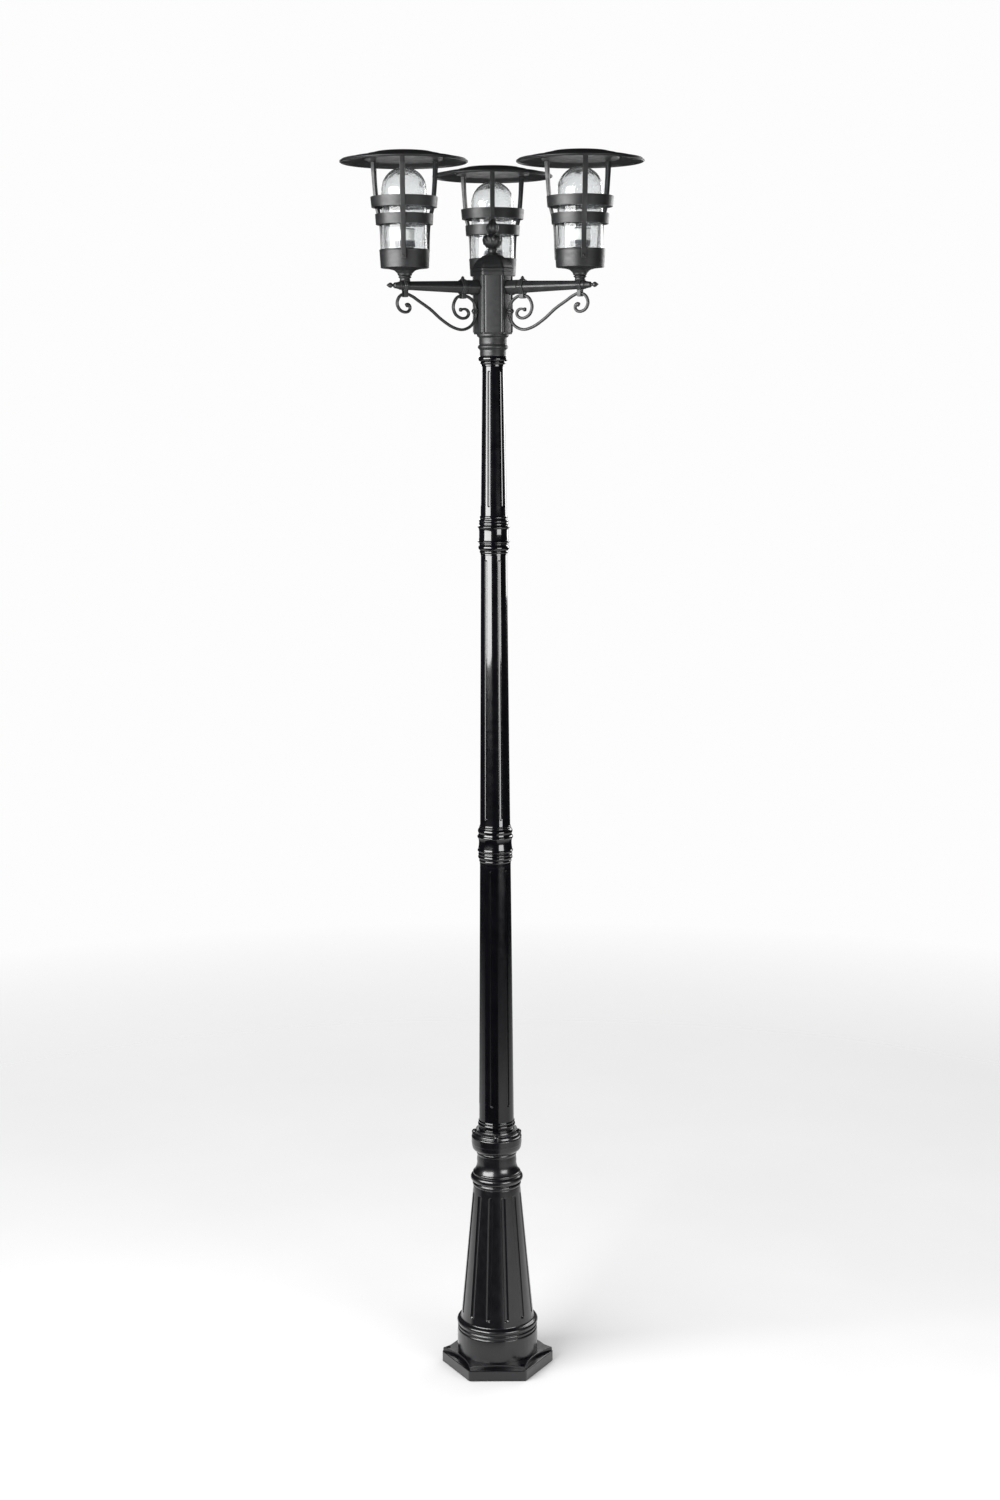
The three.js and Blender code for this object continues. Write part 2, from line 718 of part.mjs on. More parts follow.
for (const place of ARMS) {
  post.add(armGroup(place));
  post.add(lanternGroup(place));
}

export default post;
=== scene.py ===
"""A three-lantern street lamp post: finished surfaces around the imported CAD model.

Shapes are worked out in millimetres, with +Z up, and turned into metres when a piece is made.
"""
import math

import bmesh
import bpy
import numpy as np
from mathutils import Matrix, Vector, noise


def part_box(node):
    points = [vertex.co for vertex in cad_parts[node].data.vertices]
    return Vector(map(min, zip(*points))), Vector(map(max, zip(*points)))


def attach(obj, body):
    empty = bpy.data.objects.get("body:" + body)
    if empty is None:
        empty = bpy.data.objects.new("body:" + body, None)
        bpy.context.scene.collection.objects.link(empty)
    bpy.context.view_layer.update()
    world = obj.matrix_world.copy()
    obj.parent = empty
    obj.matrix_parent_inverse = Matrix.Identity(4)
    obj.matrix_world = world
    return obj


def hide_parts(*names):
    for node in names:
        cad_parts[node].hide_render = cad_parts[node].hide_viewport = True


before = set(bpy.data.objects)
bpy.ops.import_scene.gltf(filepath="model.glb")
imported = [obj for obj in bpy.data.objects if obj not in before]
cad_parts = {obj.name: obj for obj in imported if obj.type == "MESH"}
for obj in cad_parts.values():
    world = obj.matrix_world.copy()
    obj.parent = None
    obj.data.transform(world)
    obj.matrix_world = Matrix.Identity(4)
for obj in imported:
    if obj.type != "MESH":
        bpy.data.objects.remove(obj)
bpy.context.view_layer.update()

MM = 0.001
SIDES = ("right", "rear", "left")
CAGE_TURN = {"right": -84, "rear": -90, "left": -90}  # degrees to each cage's first bar
GLOSS, SATIN = "gloss_black_paint", "satin_black_paint"
FLAT = math.cos(math.pi / 6)  # from a hexagon's centre to its flats, where its corners are at 1

# Flat stretches round a turned piece
GLASS_SIDES = 120
POST_SIDES = 96
LANTERN_SIDES = 80
CAVITY_SIDES = 64
SMALL_SIDES = 48
HOLE_SIDES = 32  # bolts and screw heads too
LUG_SIDES = 28
STUD_SIDES = 24

SHARP_ANGLE = math.radians(40)  # faces that meet at more than this keep a hard edge
MERGE_DISTANCE = 0.004 * MM


def levels(node):
    """The lowest and highest point of a CAD node, in millimetres."""
    low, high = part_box(node)
    return low.z / MM, high.z / MM


def axis_of(node):
    """Where a CAD node's upright axis stands, in millimetres."""
    low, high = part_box(node)
    return Vector((low.x + high.x, low.y + high.y, 0)) / 2 / MM


# Where the CAD model puts things
HUB_BOTTOM, HUB_TOP = levels("hub")
HUB_FACE = (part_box("hub")[1].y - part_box("hub")[0].y) / 2 / MM
HUB_CORNER = HUB_FACE / FLAT
ARM_HEIGHT = sum(levels("left_arm")) / 2
LANTERN = {side: axis_of(f"{side}_cup") for side in SIDES}
LANTERN_REACH = LANTERN["left"].length
ARM_ANGLE = {side: math.atan2(place.y, place.x) for side, place in LANTERN.items()}
INNER_CLIP_REACH = axis_of("rear_clip_bolt").y


# ---------------------------------------------------------------- outlines and skins

def bowed(start, end, swell, step=11):
    """Points along the arc from start to end that swells by that many millimetres to its right."""
    chord = end - start
    sweep = 4 * math.atan(2 * swell / chord.length)
    if abs(sweep) < 1e-4:
        return [end]
    radius = (chord.length ** 2 / 4 + swell ** 2) / (2 * swell)
    right = Vector((chord.y, -chord.x)).normalized()
    centre = (start + end) / 2 + right * (swell - radius)
    count = max(2, round(abs(math.degrees(sweep)) / step))
    arm = start - centre
    points = []
    for i in range(1, count + 1):
        turn = sweep * i / count
        c, s = math.cos(turn), math.sin(turn)
        points.append(centre + Vector((arm.x * c - arm.y * s, arm.x * s + arm.y * c)))
    return points


def softened(points, size, closed=False):
    """The same outline with its corners rounded off by about that many millimetres."""
    count = len(points)
    made = []
    for i, point in enumerate(points):
        if not closed and i in (0, count - 1):
            made.append(point)
            continue
        before, after = points[i - 1] - point, points[(i + 1) % count] - point
        shorter = min(before.length, after.length)
        if shorter < 1e-6 or before.angle(after) > math.radians(155):
            made.append(point)
            continue
        back = min(size, 0.4 * shorter)
        first = point + before.normalized() * back
        last = point + after.normalized() * back
        made += [first, (first + 2 * point + last) / 4, last]
    return made


def outline(corners, soft=0.5, closed=False):
    """A side view from (radius, height) or (radius, height, swell) corners."""
    points = [Vector(corners[0][:2])]
    for corner in corners[1:]:
        end = Vector(corner[:2])
        points += bowed(points[-1], end, corner[2]) if len(corner) == 3 else [end]
    return softened(points, soft, closed)


def lofted(rings, looped=False):
    """A skin over rings of equally many points, with flat ends or, if looped, joined up."""
    count = len(rings[0])
    points = [Vector(point) for ring in rings for point in ring]
    faces = []
    for i in range(len(rings) if looped else len(rings) - 1):
        low, high = i * count, (i + 1) % len(rings) * count
        for k in range(count):
            n = (k + 1) % count
            faces.append((low + k, low + n, high + n, high + k))
    if not looped:
        faces.append(tuple(reversed(range(count))))
        faces.append(tuple(range(len(points) - count, len(points))))
    return points, faces


def circle(radius, height, sides, first=0.0):
    step = 2 * math.pi / sides
    return [(radius * math.cos(first + step * k), radius * math.sin(first + step * k), height)
            for k in range(sides)]


def turned(side_view, sides, hollow=False):
    """A turned solid. A hollow one's side view closes on itself."""
    return lofted([circle(p.x, p.y, sides) for p in side_view], looped=hollow)


def bored(corners, bore, soft=0.5):
    """A ring's side view: the corners up the outside, then straight down a bore."""
    bottom, top = corners[0][1], corners[-1][1]
    return outline([*corners, (bore, top), (bore, bottom)], soft, closed=True)


def six_sided(corner, height, blunt=0.8, first=0.0):
    """A hexagon whose corners are blunted by that many millimetres."""
    flat = corner * FLAT
    off = 2.2 * blunt / corner
    ring = []
    for k in range(6):
        for share in (-1, -0.45, 0.45, 1):
            angle = share * off
            reach = flat / math.cos(math.pi / 6 - abs(angle)) - 0.5 * blunt * (1 - abs(share))
            around = first + k * math.pi / 3 + angle
            ring.append((reach * math.cos(around), reach * math.sin(around), height))
    return ring


def moved(shell, matrix):
    points, faces = shell
    return [matrix @ Vector(point) for point in points], faces


def laid(x, z):
    """Lays what stands along Z down along X, and moves it by x and z millimetres."""
    return Matrix(((0, 0, 1, x), (0, 1, 0, 0), (-1, 0, 0, z), (0, 0, 0, 1)))


def repeated(shell, count, first=0.0):
    """Copies of a shell round the Z axis, the first at that angle in radians."""
    return [moved(shell, Matrix.Rotation(first + 2 * math.pi * k / count, 4, "Z"))
            for k in range(count)]


def smooth_line(points, steps):
    """A curve through all the points, with the steps closer where the points are."""
    ends = [2 * points[0] - points[1], *points, 2 * points[-1] - points[-2]]
    line = []
    for p0, p1, p2, p3 in zip(ends, ends[1:], ends[2:], ends[3:]):
        d0, d1, d2 = (math.sqrt((b - a).length) for a, b in ((p0, p1), (p1, p2), (p2, p3)))
        leaving = ((p1 - p0) / d0 - (p2 - p0) / (d0 + d1) + (p2 - p1) / d1) * d1
        coming = ((p2 - p1) / d1 - (p3 - p1) / (d1 + d2) + (p3 - p2) / d2) * d1
        for k in range(steps):
            t = k / steps
            line.append(p1 * (2 * t ** 3 - 3 * t ** 2 + 1) + p2 * (3 * t ** 2 - 2 * t ** 3)
                        + leaving * (t ** 3 - 2 * t ** 2 + t) + coming * (t ** 3 - t ** 2))
    return [*line, points[-1]]


def rounded_block(width, depth, height, soft):
    """An upright block with every edge rounded off."""
    def ring(inset, z):
        x, y = width / 2 - inset, depth / 2 - inset
        corners = [Vector((x, y)), Vector((-x, y)), Vector((-x, -y)), Vector((x, -y))]
        return [(p.x, p.y, z) for p in softened(corners, soft, closed=True)]
    return lofted([ring(soft, 0), ring(0.3 * soft, 0.3 * soft), ring(0, soft),
                   ring(0, height - soft), ring(0.3 * soft, height - 0.3 * soft),
                   ring(soft, height)])


def band(outer, inner, start, end, soft=0.6):
    """A band that runs along X from start to end between two outlines of (y, z) points."""
    def at(x, loop):
        return [(x, p.x, p.y) for p in loop]
    middle = sum(outer, Vector((0, 0))) / len(outer)
    tight = [middle + (p - middle) * (1 - soft / (p - middle).length) for p in outer]
    return lofted([at(start, tight), at(start + soft, outer), at(end - soft, outer),
                   at(end, tight), at(end, inner), at(start, inner)], looped=True)


# ---------------------------------------------------------------- pieces

def to_mesh(name, shells):
    """One mesh in metres from shells in millimetres, with outward faces."""
    points, faces = [], []
    for shell_points, shell_faces in shells:
        start = len(points)
        points += [p * MM for p in shell_points]
        faces += [tuple(start + k for k in face) for face in shell_faces]
    mesh = bpy.data.meshes.new(name)
    mesh.from_pydata(points, [], faces)
    work = bmesh.new()
    work.from_mesh(mesh)
    bmesh.ops.remove_doubles(work, verts=work.verts, dist=MERGE_DISTANCE)
    bare = [edge for edge in work.edges if not edge.link_faces]
    bmesh.ops.delete(work, geom=bare, context="EDGES")
    bmesh.ops.recalc_face_normals(work, faces=work.faces)
    work.to_mesh(mesh)
    work.free()
    return mesh


def linked(name, data):
    """A new object in the scene."""
    obj = bpy.data.objects.new(name, data)
    bpy.context.scene.collection.objects.link(obj)
    return obj


def new_object(name, shells):
    return linked(name, to_mesh(name, shells))


def combine(obj, shells, operation):
    """Joins shells to obj's mesh, or cuts them out of it, one at a time."""
    for shell in shells:
        tool = new_object("tool", [shell])
        modifier = obj.modifiers.new("combine", "BOOLEAN")
        modifier.object = tool
        modifier.operation = operation
        modifier.solver = "EXACT"
        graph = bpy.context.evaluated_depsgraph_get()
        made = bpy.data.meshes.new_from_object(obj.evaluated_get(graph))
        obj.modifiers.clear()
        obj.data = made
        bpy.data.objects.remove(tool)


def finished(obj, body, nodes, material):
    """Shades a piece and ties it to the frame."""
    obj.data.shade_smooth()
    obj.data.set_sharp_from_angle(angle=SHARP_ANGLE)
    normals = obj.modifiers.new("normals", "WEIGHTED_NORMAL")
    normals.keep_sharp = True
    obj.data.materials.clear()
    obj.data.materials.append(material)
    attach(obj, body)
    if nodes:
        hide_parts(*nodes)


def extra(name, shells, slot, body="post", place=None, nodes=()):
    """A small piece that the CAD model leaves out, unless nodes names what it stands for."""
    if place is not None:
        shells = [moved(shell, place) for shell in shells]
    finished(new_object(name, shells), body, nodes, MATERIALS[slot])


def piece(name, shells, slot, body="post", place=None):
    """A piece that stands for the CAD node of that name."""
    extra(f"{name}_finished", shells, slot, body, place, [name])


# ---------------------------------------------------------------- materials

def node(tree, kind, inputs=None, **settings):
    made = tree.nodes.new(kind)
    for key, value in settings.items():
        setattr(made, key, value)
    for key, value in (inputs or {}).items():
        if isinstance(value, bpy.types.NodeSocket):
            tree.links.new(value, made.inputs[key])
        else:
            made.inputs[key].default_value = value
    return made


def grain(tree, scale, stretch=(1, 1, 1), detail=3.0):
    """Noise fixed to the object, with the stretch along each axis."""
    place = node(tree, "ShaderNodeTexCoord").outputs["Object"]
    spread = node(tree, "ShaderNodeMapping", {"Vector": place, "Scale": stretch})
    return node(tree, "ShaderNodeTexNoise",
                {"Vector": spread.outputs[0], "Scale": scale, "Detail": detail}).outputs["Fac"]


def ranged(tree, value, low, high, start=0.3, end=0.7):
    return node(tree, "ShaderNodeMapRange", {
        "Value": value, "From Min": start, "From Max": end, "To Min": low, "To Max": high,
    }).outputs[0]


def blended(tree, share, first, second):
    return node(tree, "ShaderNodeMix", {"Factor": share, "A": first, "B": second},
                data_type="RGBA").outputs["Result"]


def new_material(name):
    material = bpy.data.materials.new(name)
    material.use_nodes = True
    tree = material.node_tree
    return material, tree, tree.nodes["Principled BSDF"]


def connect(tree, shader, **sockets):
    for name, value in sockets.items():
        tree.links.new(value, shader.inputs[name.replace("_", " ")])


def fixed(shader, values):
    for name, value in values.items():
        shader.inputs[name].default_value = value


def shade(colour):
    return (*colour, 1)


def grey(tree, scale, low, high):
    """A neutral colour that drifts between two tones."""
    tone = ranged(tree, grain(tree, scale), low, high)
    return node(tree, "ShaderNodeCombineColor",
                {"Red": tone, "Green": tone, "Blue": tone}).outputs[0]


def coated(name, colour, mottle_and_edge_highlight, rough, relief, stretch=(1, 1, 1), values=None):
    """Paint or another coat: mottled colour, a painted highlight on convex edges, uneven gloss and
    a fine relief.

    relief is (scale, strength, distance in metres) for the fine grain, then for the slow waves.
    values are the shader's constants.
    """
    material, tree, shader = new_material(name)
    edges = node(tree, "ShaderNodeNewGeometry").outputs["Pointiness"]
    mottle = ranged(tree, grain(tree, 24), 0.0, 0.35)
    # Painted highlight: convex edges, found by pointiness, take the lighter colour, which the
    # random mottle also uses.
    painted_edge_highlight = ranged(tree, edges, 0.0, 0.55, 0.515, 0.60)
    share = node(tree, "ShaderNodeMath", {0: mottle, 1: painted_edge_highlight}, operation="MAXIMUM")
    colours = blended(tree, share.outputs[0], shade(colour), shade(mottle_and_edge_highlight))
    gloss = ranged(tree, grain(tree, 60, stretch, 4.0), *rough)
    (fine, fine_strength, fine_depth), (slow, slow_strength, slow_depth) = relief
    waves = node(tree, "ShaderNodeBump", {
        "Strength": slow_strength, "Distance": slow_depth, "Height": grain(tree, slow, stretch),
    })
    bumps = node(tree, "ShaderNodeBump", {
        "Strength": fine_strength, "Distance": fine_depth,
        "Height": grain(tree, fine, stretch, 2.0), "Normal": waves.outputs[0],
    })
    connect(tree, shader, Base_Color=colours, Roughness=gloss, Normal=bumps.outputs[0])
    fixed(shader, values or {})
    return material


def seeded_glass():
    """Clear glass with seeds and faint upright waves, which lamps shine through."""
    material, tree, shader = new_material("clear_glass")
    place = node(tree, "ShaderNodeTexCoord").outputs["Object"]
    seeds = node(tree, "ShaderNodeTexVoronoi",
                 {"Vector": place, "Scale": 330.0, "Randomness": 1.0}).outputs["Distance"]
    dots = ranged(tree, seeds, 1.0, 0.0, 0.10, 0.26)
    waves = node(tree, "ShaderNodeBump", {
        "Strength": 0.35, "Distance": 0.0012, "Height": grain(tree, 110, (1, 1, 0.45), 3.0),
    })
    bumps = node(tree, "ShaderNodeBump", {
        "Strength": 0.5, "Distance": 0.0004, "Height": dots, "Normal": waves.outputs[0],
    })
    tint = blended(tree, grain(tree, 40), shade((0.86, 0.875, 0.88)), shade((0.94, 0.95, 0.95)))
    connect(tree, shader, Base_Color=tint, Normal=bumps.outputs[0])
    fixed(shader, {"Roughness": 0.02, "IOR": 1.5, "Transmission Weight": 1.0})
    path = node(tree, "ShaderNodeLightPath")
    clear = node(tree, "ShaderNodeBsdfTransparent", {"Color": shade((0.94, 0.96, 0.96))})
    mixed = node(tree, "ShaderNodeMixShader", {
        0: path.outputs["Is Shadow Ray"], 1: shader.outputs[0], 2: clear.outputs[0],
    })
    tree.links.new(mixed.outputs[0], tree.nodes["Material Output"].inputs["Surface"])
    return material


CAST_PAINT = coated(
    "cast_black_paint", (0.0012, 0.0011, 0.0019), (0.004, 0.0038, 0.0056), (0.28, 0.42),
    ((520, 0.12, 0.0004), (80, 0.10, 0.0010)),
    values={"Coat Weight": 0.9, "Coat Roughness": 0.2, "Specular IOR Level": 0.25},
)
MATERIALS = {
    GLOSS: coated(
        GLOSS, (0.0008, 0.0008, 0.0013), (0.003, 0.003, 0.0042), (0.16, 0.26),
        ((420, 0.05, 0.0004), (70, 0.06, 0.0012)),
        values={"Coat Weight": 1.0, "Coat Roughness": 0.05, "Specular IOR Level": 0.15},
    ),
    SATIN: coated(
        SATIN, (0.0048, 0.0050, 0.0055), (0.020, 0.0206, 0.0212), (0.36, 0.5),
        ((900, 0.22, 0.0003), (140, 0.12, 0.0006)), (1, 1, 3.2),
        values={"Specular IOR Level": 0.42},
    ),
    "steel": coated(
        "steel", (0.42, 0.43, 0.44), (0.62, 0.63, 0.64), (0.28, 0.5),
        ((700, 0.3, 0.0003), (120, 0.1, 0.0005)), values={"Metallic": 1.0},
    ),
    "ceramic": coated(
        "ceramic", (0.30, 0.30, 0.29), (0.42, 0.42, 0.41), (0.14, 0.26),
        ((300, 0.08, 0.0003), (60, 0.08, 0.0008)),
        values={"Coat Weight": 0.6, "Coat Roughness": 0.08},
    ),
    "dark_plastic": coated(
        "dark_plastic", (0.02, 0.022, 0.028), (0.06, 0.062, 0.07), (0.42, 0.6),
        ((1100, 0.3, 0.0002), (160, 0.1, 0.0004)),
    ),
    "gasket_rubber": coated(
        "gasket_rubber", (0.012, 0.012, 0.012), (0.035, 0.034, 0.033), (0.7, 0.9),
        ((800, 0.4, 0.0003), (150, 0.2, 0.0006)),
    ),
    "clear_glass": seeded_glass(),
}


# ---------------------------------------------------------------- the post

def flute_rows(flutes):
    """Heights that follow a flute's round ends closely and its straight run loosely."""
    low, high, end = flutes["low"], flutes["high"], flutes["width"] / 2
    bend = [end * (1 - math.cos(math.radians(turn))) for turn in range(0, 91, 10)]
    run = np.linspace(low + end, high - end, 14)[1:-1]
    past = 1.2
    return [low - past, *(low + b for b in bend), *run,
            *(high - b for b in reversed(bend)), high + past]


FLUTE_SHARES = (0, 0.3, 0.55, 0.74, 0.88, 0.96, 1.03, 1.25)  # of a flute's half width
FLUTE_WALL = 0.62  # the part of the half width over which a flute gets deeper
LEAST_RADIUS = 20  # nearer the axis than this, the points that flutes need stay apart


def fluted(side_view, flutes):
    """Rings of a turned side view, with round-ended grooves sunk into it."""
    count, first, low, high = flutes["count"], flutes["first"], flutes["low"], flutes["high"]
    half, depth = flutes["width"] / 2, flutes["depth"]
    pitch = 2 * math.pi / count
    across = [-share * half for share in reversed(FLUTE_SHARES[1:])]
    across += [share * half for share in FLUTE_SHARES]
    rings = []
    for radius, height in side_view:
        scale = 1 / max(radius, LEAST_RADIUS)
        nearest = min(max(height, low + half), high - half)
        ring = []
        for k in range(count):
            middle = first + k * pitch
            edge = across[-1] * scale
            gaps = np.linspace(edge, pitch - edge, 5)[1:-1]
            for offset in [*(a * scale for a in across), *gaps]:
                inside = half - math.hypot(offset / scale, height - nearest)
                share = min(max(inside, 0) / (FLUTE_WALL * half), 1)
                sunk = depth * math.sin(share * math.pi / 2)
                r = radius - sunk
                ring.append((r * math.cos(middle + offset), r * math.sin(middle + offset), height))
        rings.append(ring)
    return rings


def cone_rows(low, high, heights):
    """Points of the straight line from low to high, at those heights."""
    return [Vector((low[0] + (high[0] - low[0]) * (z - low[1]) / (high[1] - low[1]), z))
            for z in heights]


def foot_plate():
    corner, height = 124.6, 24
    levels_up = [(corner - 1.4, 0), (corner - 0.4, 0.5), (corner, 1.6), (corner, height - 2.2),
                 (corner - 0.5, height - 0.8), (corner - 1.9, height)]
    return lofted([six_sided(r, z, 1.6) for r, z in levels_up])


def corner_pads():
    """Six pointed pads on the foot plate, with scooped sides between them."""
    tip, waist, top = 121.5, 93, 32

    def ring(inset, z):
        reach = tip - 1.6 * inset
        pull = 2 * (waist - inset) - reach * FLAT
        points = []
        for k in range(6):
            start, end = (Vector((math.cos(a), math.sin(a))) * reach
                          for a in (k * math.pi / 3, (k + 1) * math.pi / 3))
            middle = (k + 0.5) * math.pi / 3
            bend = Vector((math.cos(middle), math.sin(middle))) * pull
            for i in range(12):
                t = i / 12
                p = start * (1 - t) ** 2 + bend * 2 * t * (1 - t) + end * t ** 2
                points.append((p.x, p.y, z))
        return points

    return lofted([ring(0, 23), ring(0, top - 1.6), ring(0.5, top - 0.5), ring(1.6, top)])


def upright_hole(radius, x, y, bottom, top):
    shell = lofted([circle(radius, z, HOLE_SIDES) for z in (bottom, top)])
    return moved(shell, Matrix.Translation((x, y, 0)))


ANCHOR_RADIUS, ANCHOR_REACH = 5.5, 110
CABLE_RADIUS, CABLE_REACH = 12, 45
ROD_CLEARANCE = 0.6


def make_pedestal():
    top = levels("pedestal")[1]
    cone_low, cone_high = (79.6, 118), (51.8, 413)
    flutes = {"count": 12, "first": math.radians(15), "low": 122.5, "high": 400,
              "width": 10.5, "depth": 3.0}
    below = outline([
        (0, 30), (88.2, 30), (89.1, 44), (89.2, 60), (88.6, 80, 0.2), (87.7, 83.2, 0.3),
        (86.4, 84.4), (86.4, 85.6), (87.2, 86.4), (87.4, 92.0, 1.3), (86.4, 93.0), (86.4, 94.2),
        (87.0, 95.0), (84.4, 106.6, 4.2), (82.4, 107.8), (80.6, 111.0, -0.4),
    ], 0.4)
    above = outline([
        (51.8, 413), (51.2, 414.2), (52.2, 415.4), (52.2, 421.8, 1.3), (51.2, 423.0),
        (52.2, 424.4), (53.4, 439.6, 4.9),
        (52.2, 441.0), (52.3, 442.4), (50.6, 446.6, 0.9), (49.6, 447.4), (43.6, 473, -2.6),
        (42.6, 482), (42.6, 484.6), (43.4, 485.6), (43.2, top, 0.9), (0, top),
    ], 0.4)
    straight = cone_rows(cone_low, cone_high, flute_rows(flutes))
    body = lofted(fluted([*below, *straight, *above], flutes))
    cavity = turned(outline([
        (0, 40), (76, 40), (76, 62), (69, 112), (42, 402), (34, 440), (34, top + 2), (0, top + 2),
    ], 1.0), CAVITY_SIDES)
    obj = new_object("pedestal_finished", [foot_plate()])
    combine(obj, [corner_pads(), body], "UNION")
    low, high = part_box("tie_rod")
    rod = upright_hole((high.x - low.x) / 2 / MM + ROD_CLEARANCE, 0, 0, low.z / MM - 0.5, 60)
    anchors = [upright_hole(ANCHOR_RADIUS, ANCHOR_REACH * math.cos(a), ANCHOR_REACH * math.sin(a),
                            -2, 40) for a in (math.pi / 3, math.pi, 5 * math.pi / 3)]
    cable = upright_hole(CABLE_RADIUS, 0, CABLE_REACH, -2, 50)
    combine(obj, [cavity, rod, *anchors, cable], "DIFFERENCE")
    finished(obj, "post", ["pedestal"], CAST_PAINT)


def make_base_collar():
    bottom, top = levels("base_collar")
    ring = turned(bored([
        (43.6, bottom), (47.0, bottom + 2.2, 0.8), (54.0, 505, 2.0), (54.5, 507), (54.5, 510.4),
        (55.0, 511.2), (55.0, 524), (53.4, 528, 0.7), (51.6, 528.8), (50.8, 531.4),
        (47.4, 535, 0.8), (46.6, 535.8), (46.4, 540), (45.4, top),
    ], 34), POST_SIDES, hollow=True)
    lug = moved(turned(outline([
        (0, 521), (6.8, 521), (7.0, 524), (6.9, 533), (5.2, 539.2, 1.2), (1.8, 541, 0.3), (0, 541),
    ], 0.6), LUG_SIDES), Matrix.Translation((47.2, 0, 0)))
    finished(new_object("base_collar_finished", [ring, *repeated(lug, 4)]), "post",
             ["base_collar"], CAST_PAINT)


SHAFTS = {
    "lower_shaft": {
        "foot": [(39.2, 543.3), (39.2, 546.4), (38.2, 547.2), (38.6, 549.4, 0.3), (39.4, 550.6),
                 (39.6, 557.6, 1.6), (38.8, 558.6), (39.2, 559.6), (38.9, 563.4, 0.9),
                 (38.3, 564.6)],
        "top_radius": 33.4, "low": 600, "high": 1127, "turn": -17,
    },
    "middle_shaft": {
        "foot": [(33.0, 1220.3), (32.9, 1223.0, 0.5), (32.4, 1224.2)],
        "top_radius": 27.6, "low": 1237, "high": 1794, "turn": -37,
    },
    "upper_shaft": {
        "foot": [(28.7, 1881.3), (28.6, 1886.2, 0.8), (27.7, 1887.4)],
        "top_radius": 22.8, "low": 1905, "high": 2187, "turn": -22,
    },
}


def make_shaft(name, foot, top_radius, low, high, turn):
    bottom, top = levels(name)
    flutes = {"count": 6, "first": math.radians(turn - 90), "low": low, "high": high,
              "width": 6.2, "depth": 2.2}
    straight = cone_rows(foot[-1][:2], (top_radius, top), [*flute_rows(flutes), top])
    wall = 5
    bore = top_radius - wall
    side_view = [*outline(foot, 0.4), *straight, Vector((bore, top)), Vector((bore, bottom))]
    piece(name, [lofted(fluted(side_view, flutes), looped=True)], GLOSS)


COUPLINGS = {
    "lower_coupling": (26, [
        (33.4, 1136.3), (33.5, 1142.4), (34.0, 1143.2), (34.0, 1147.4, 0.9), (34.0, 1148.6),
        (35.4, 1150.0), (35.9, 1157.0, 1.5), (36.2, 1158.0), (35.4, 1162.6, 0.9), (35.0, 1163.8),
        (37.2, 1165.8), (38.2, 1167.2), (38.2, 1168.8), (36.4, 1174.0, -0.6), (35.3, 1184.0, -0.2),
        (36.2, 1193.4, -0.4), (37.5, 1195.6), (37.5, 1200.4, 1.1), (36.2, 1201.8), (35.6, 1205.2),
        (36.0, 1206.2), (35.3, 1215.8, 1.7), (34.5, 1216.6), (34.3, 1217.2), (33.4, 1220.0, 0.6),
    ]),
    "upper_coupling": (21.8, [
        (28.3, 1803.8), (28.4, 1807.4), (29.2, 1808.2), (29.2, 1812.8, 0.9), (29.4, 1813.8),
        (30.7, 1815.0), (30.8, 1824.6, 2.1), (30.1, 1825.6), (30.4, 1826.2), (30.7, 1829.0, 0.5),
        (31.2, 1829.8), (32.9, 1830.6), (32.9, 1833.8, 1.4), (31.6, 1835.6, -0.2),
        (31.0, 1847.0, -0.3), (31.6, 1859.4, -0.4), (32.7, 1861.0), (32.6, 1865.0, 1.3),
        (30.5, 1866.4), (30.3, 1867.0), (30.2, 1872.6, 0.9), (30.4, 1873.4), (29.6, 1878.6, 1.3),
        (28.9, 1879.4), (28.9, 1881.0),
    ]),
}


def make_neck():
    """The collar on the highest shaft and the turned neck under the hub."""
    bottom, top = levels("post_top_collar")
    piece("post_top_collar", [turned(bored([
        (23.6, bottom - 0.8), (24.2, 2198.0), (25.2, 2201.2, -0.4), (26.6, 2202.0),
        (26.7, 2204.8, 0.5), (25.7, 2205.6), (26.2, 2206.4), (26.4, top, 4.7),
    ], 17), POST_SIDES, hollow=True)], GLOSS)
    bottom, top = levels("hub_neck")
    piece("hub_neck", [turned(bored([
        (26.6, bottom - 0.8), (27.3, 2219.4), (27.3, 2229.6), (28.3, 2230.8), (28.5, 2231.6),
        (28.5, 2240.4, 3.1), (28.1, 2241.4), (28.8, 2242.4), (28.9, 2253.4), (30.8, 2256.4, -0.5),
        (33.2, 2258.4), (33.4, top + 0.6),
    ], 17), POST_SIDES, hollow=True)], SATIN)


def beaded_hexagon(corner, height, bead=2.9):
    """A hexagon with a round bead standing in a groove at every corner."""
    flat = corner * FLAT
    middle = corner - bead - 0.2
    ring = []
    for k in range(6):
        turn = Matrix.Rotation(k * math.pi / 3, 3, "Z")
        side = Vector((flat * math.cos(math.pi / 6), flat * math.sin(math.pi / 6)))
        along = Vector((math.sin(math.pi / 6), -math.cos(math.pi / 6)))
        half = [Vector((middle + bead * math.cos(a), bead * math.sin(a)))
                for a in (math.radians(t) for t in range(0, 106, 15))]
        groove = side + along * (corner / 2 - 6.4)
        edge = side + along * (corner / 2 - 8.0)
        half += [groove + (Vector((0, 0)) - side).normalized() * 1.1, edge, side]
        mirrored = [Vector((p.x, -p.y)) for p in reversed(half[1:-1])]
        ring += [turn @ Vector((p.x, p.y, height)) for p in [*mirrored, *half]]
    return ring


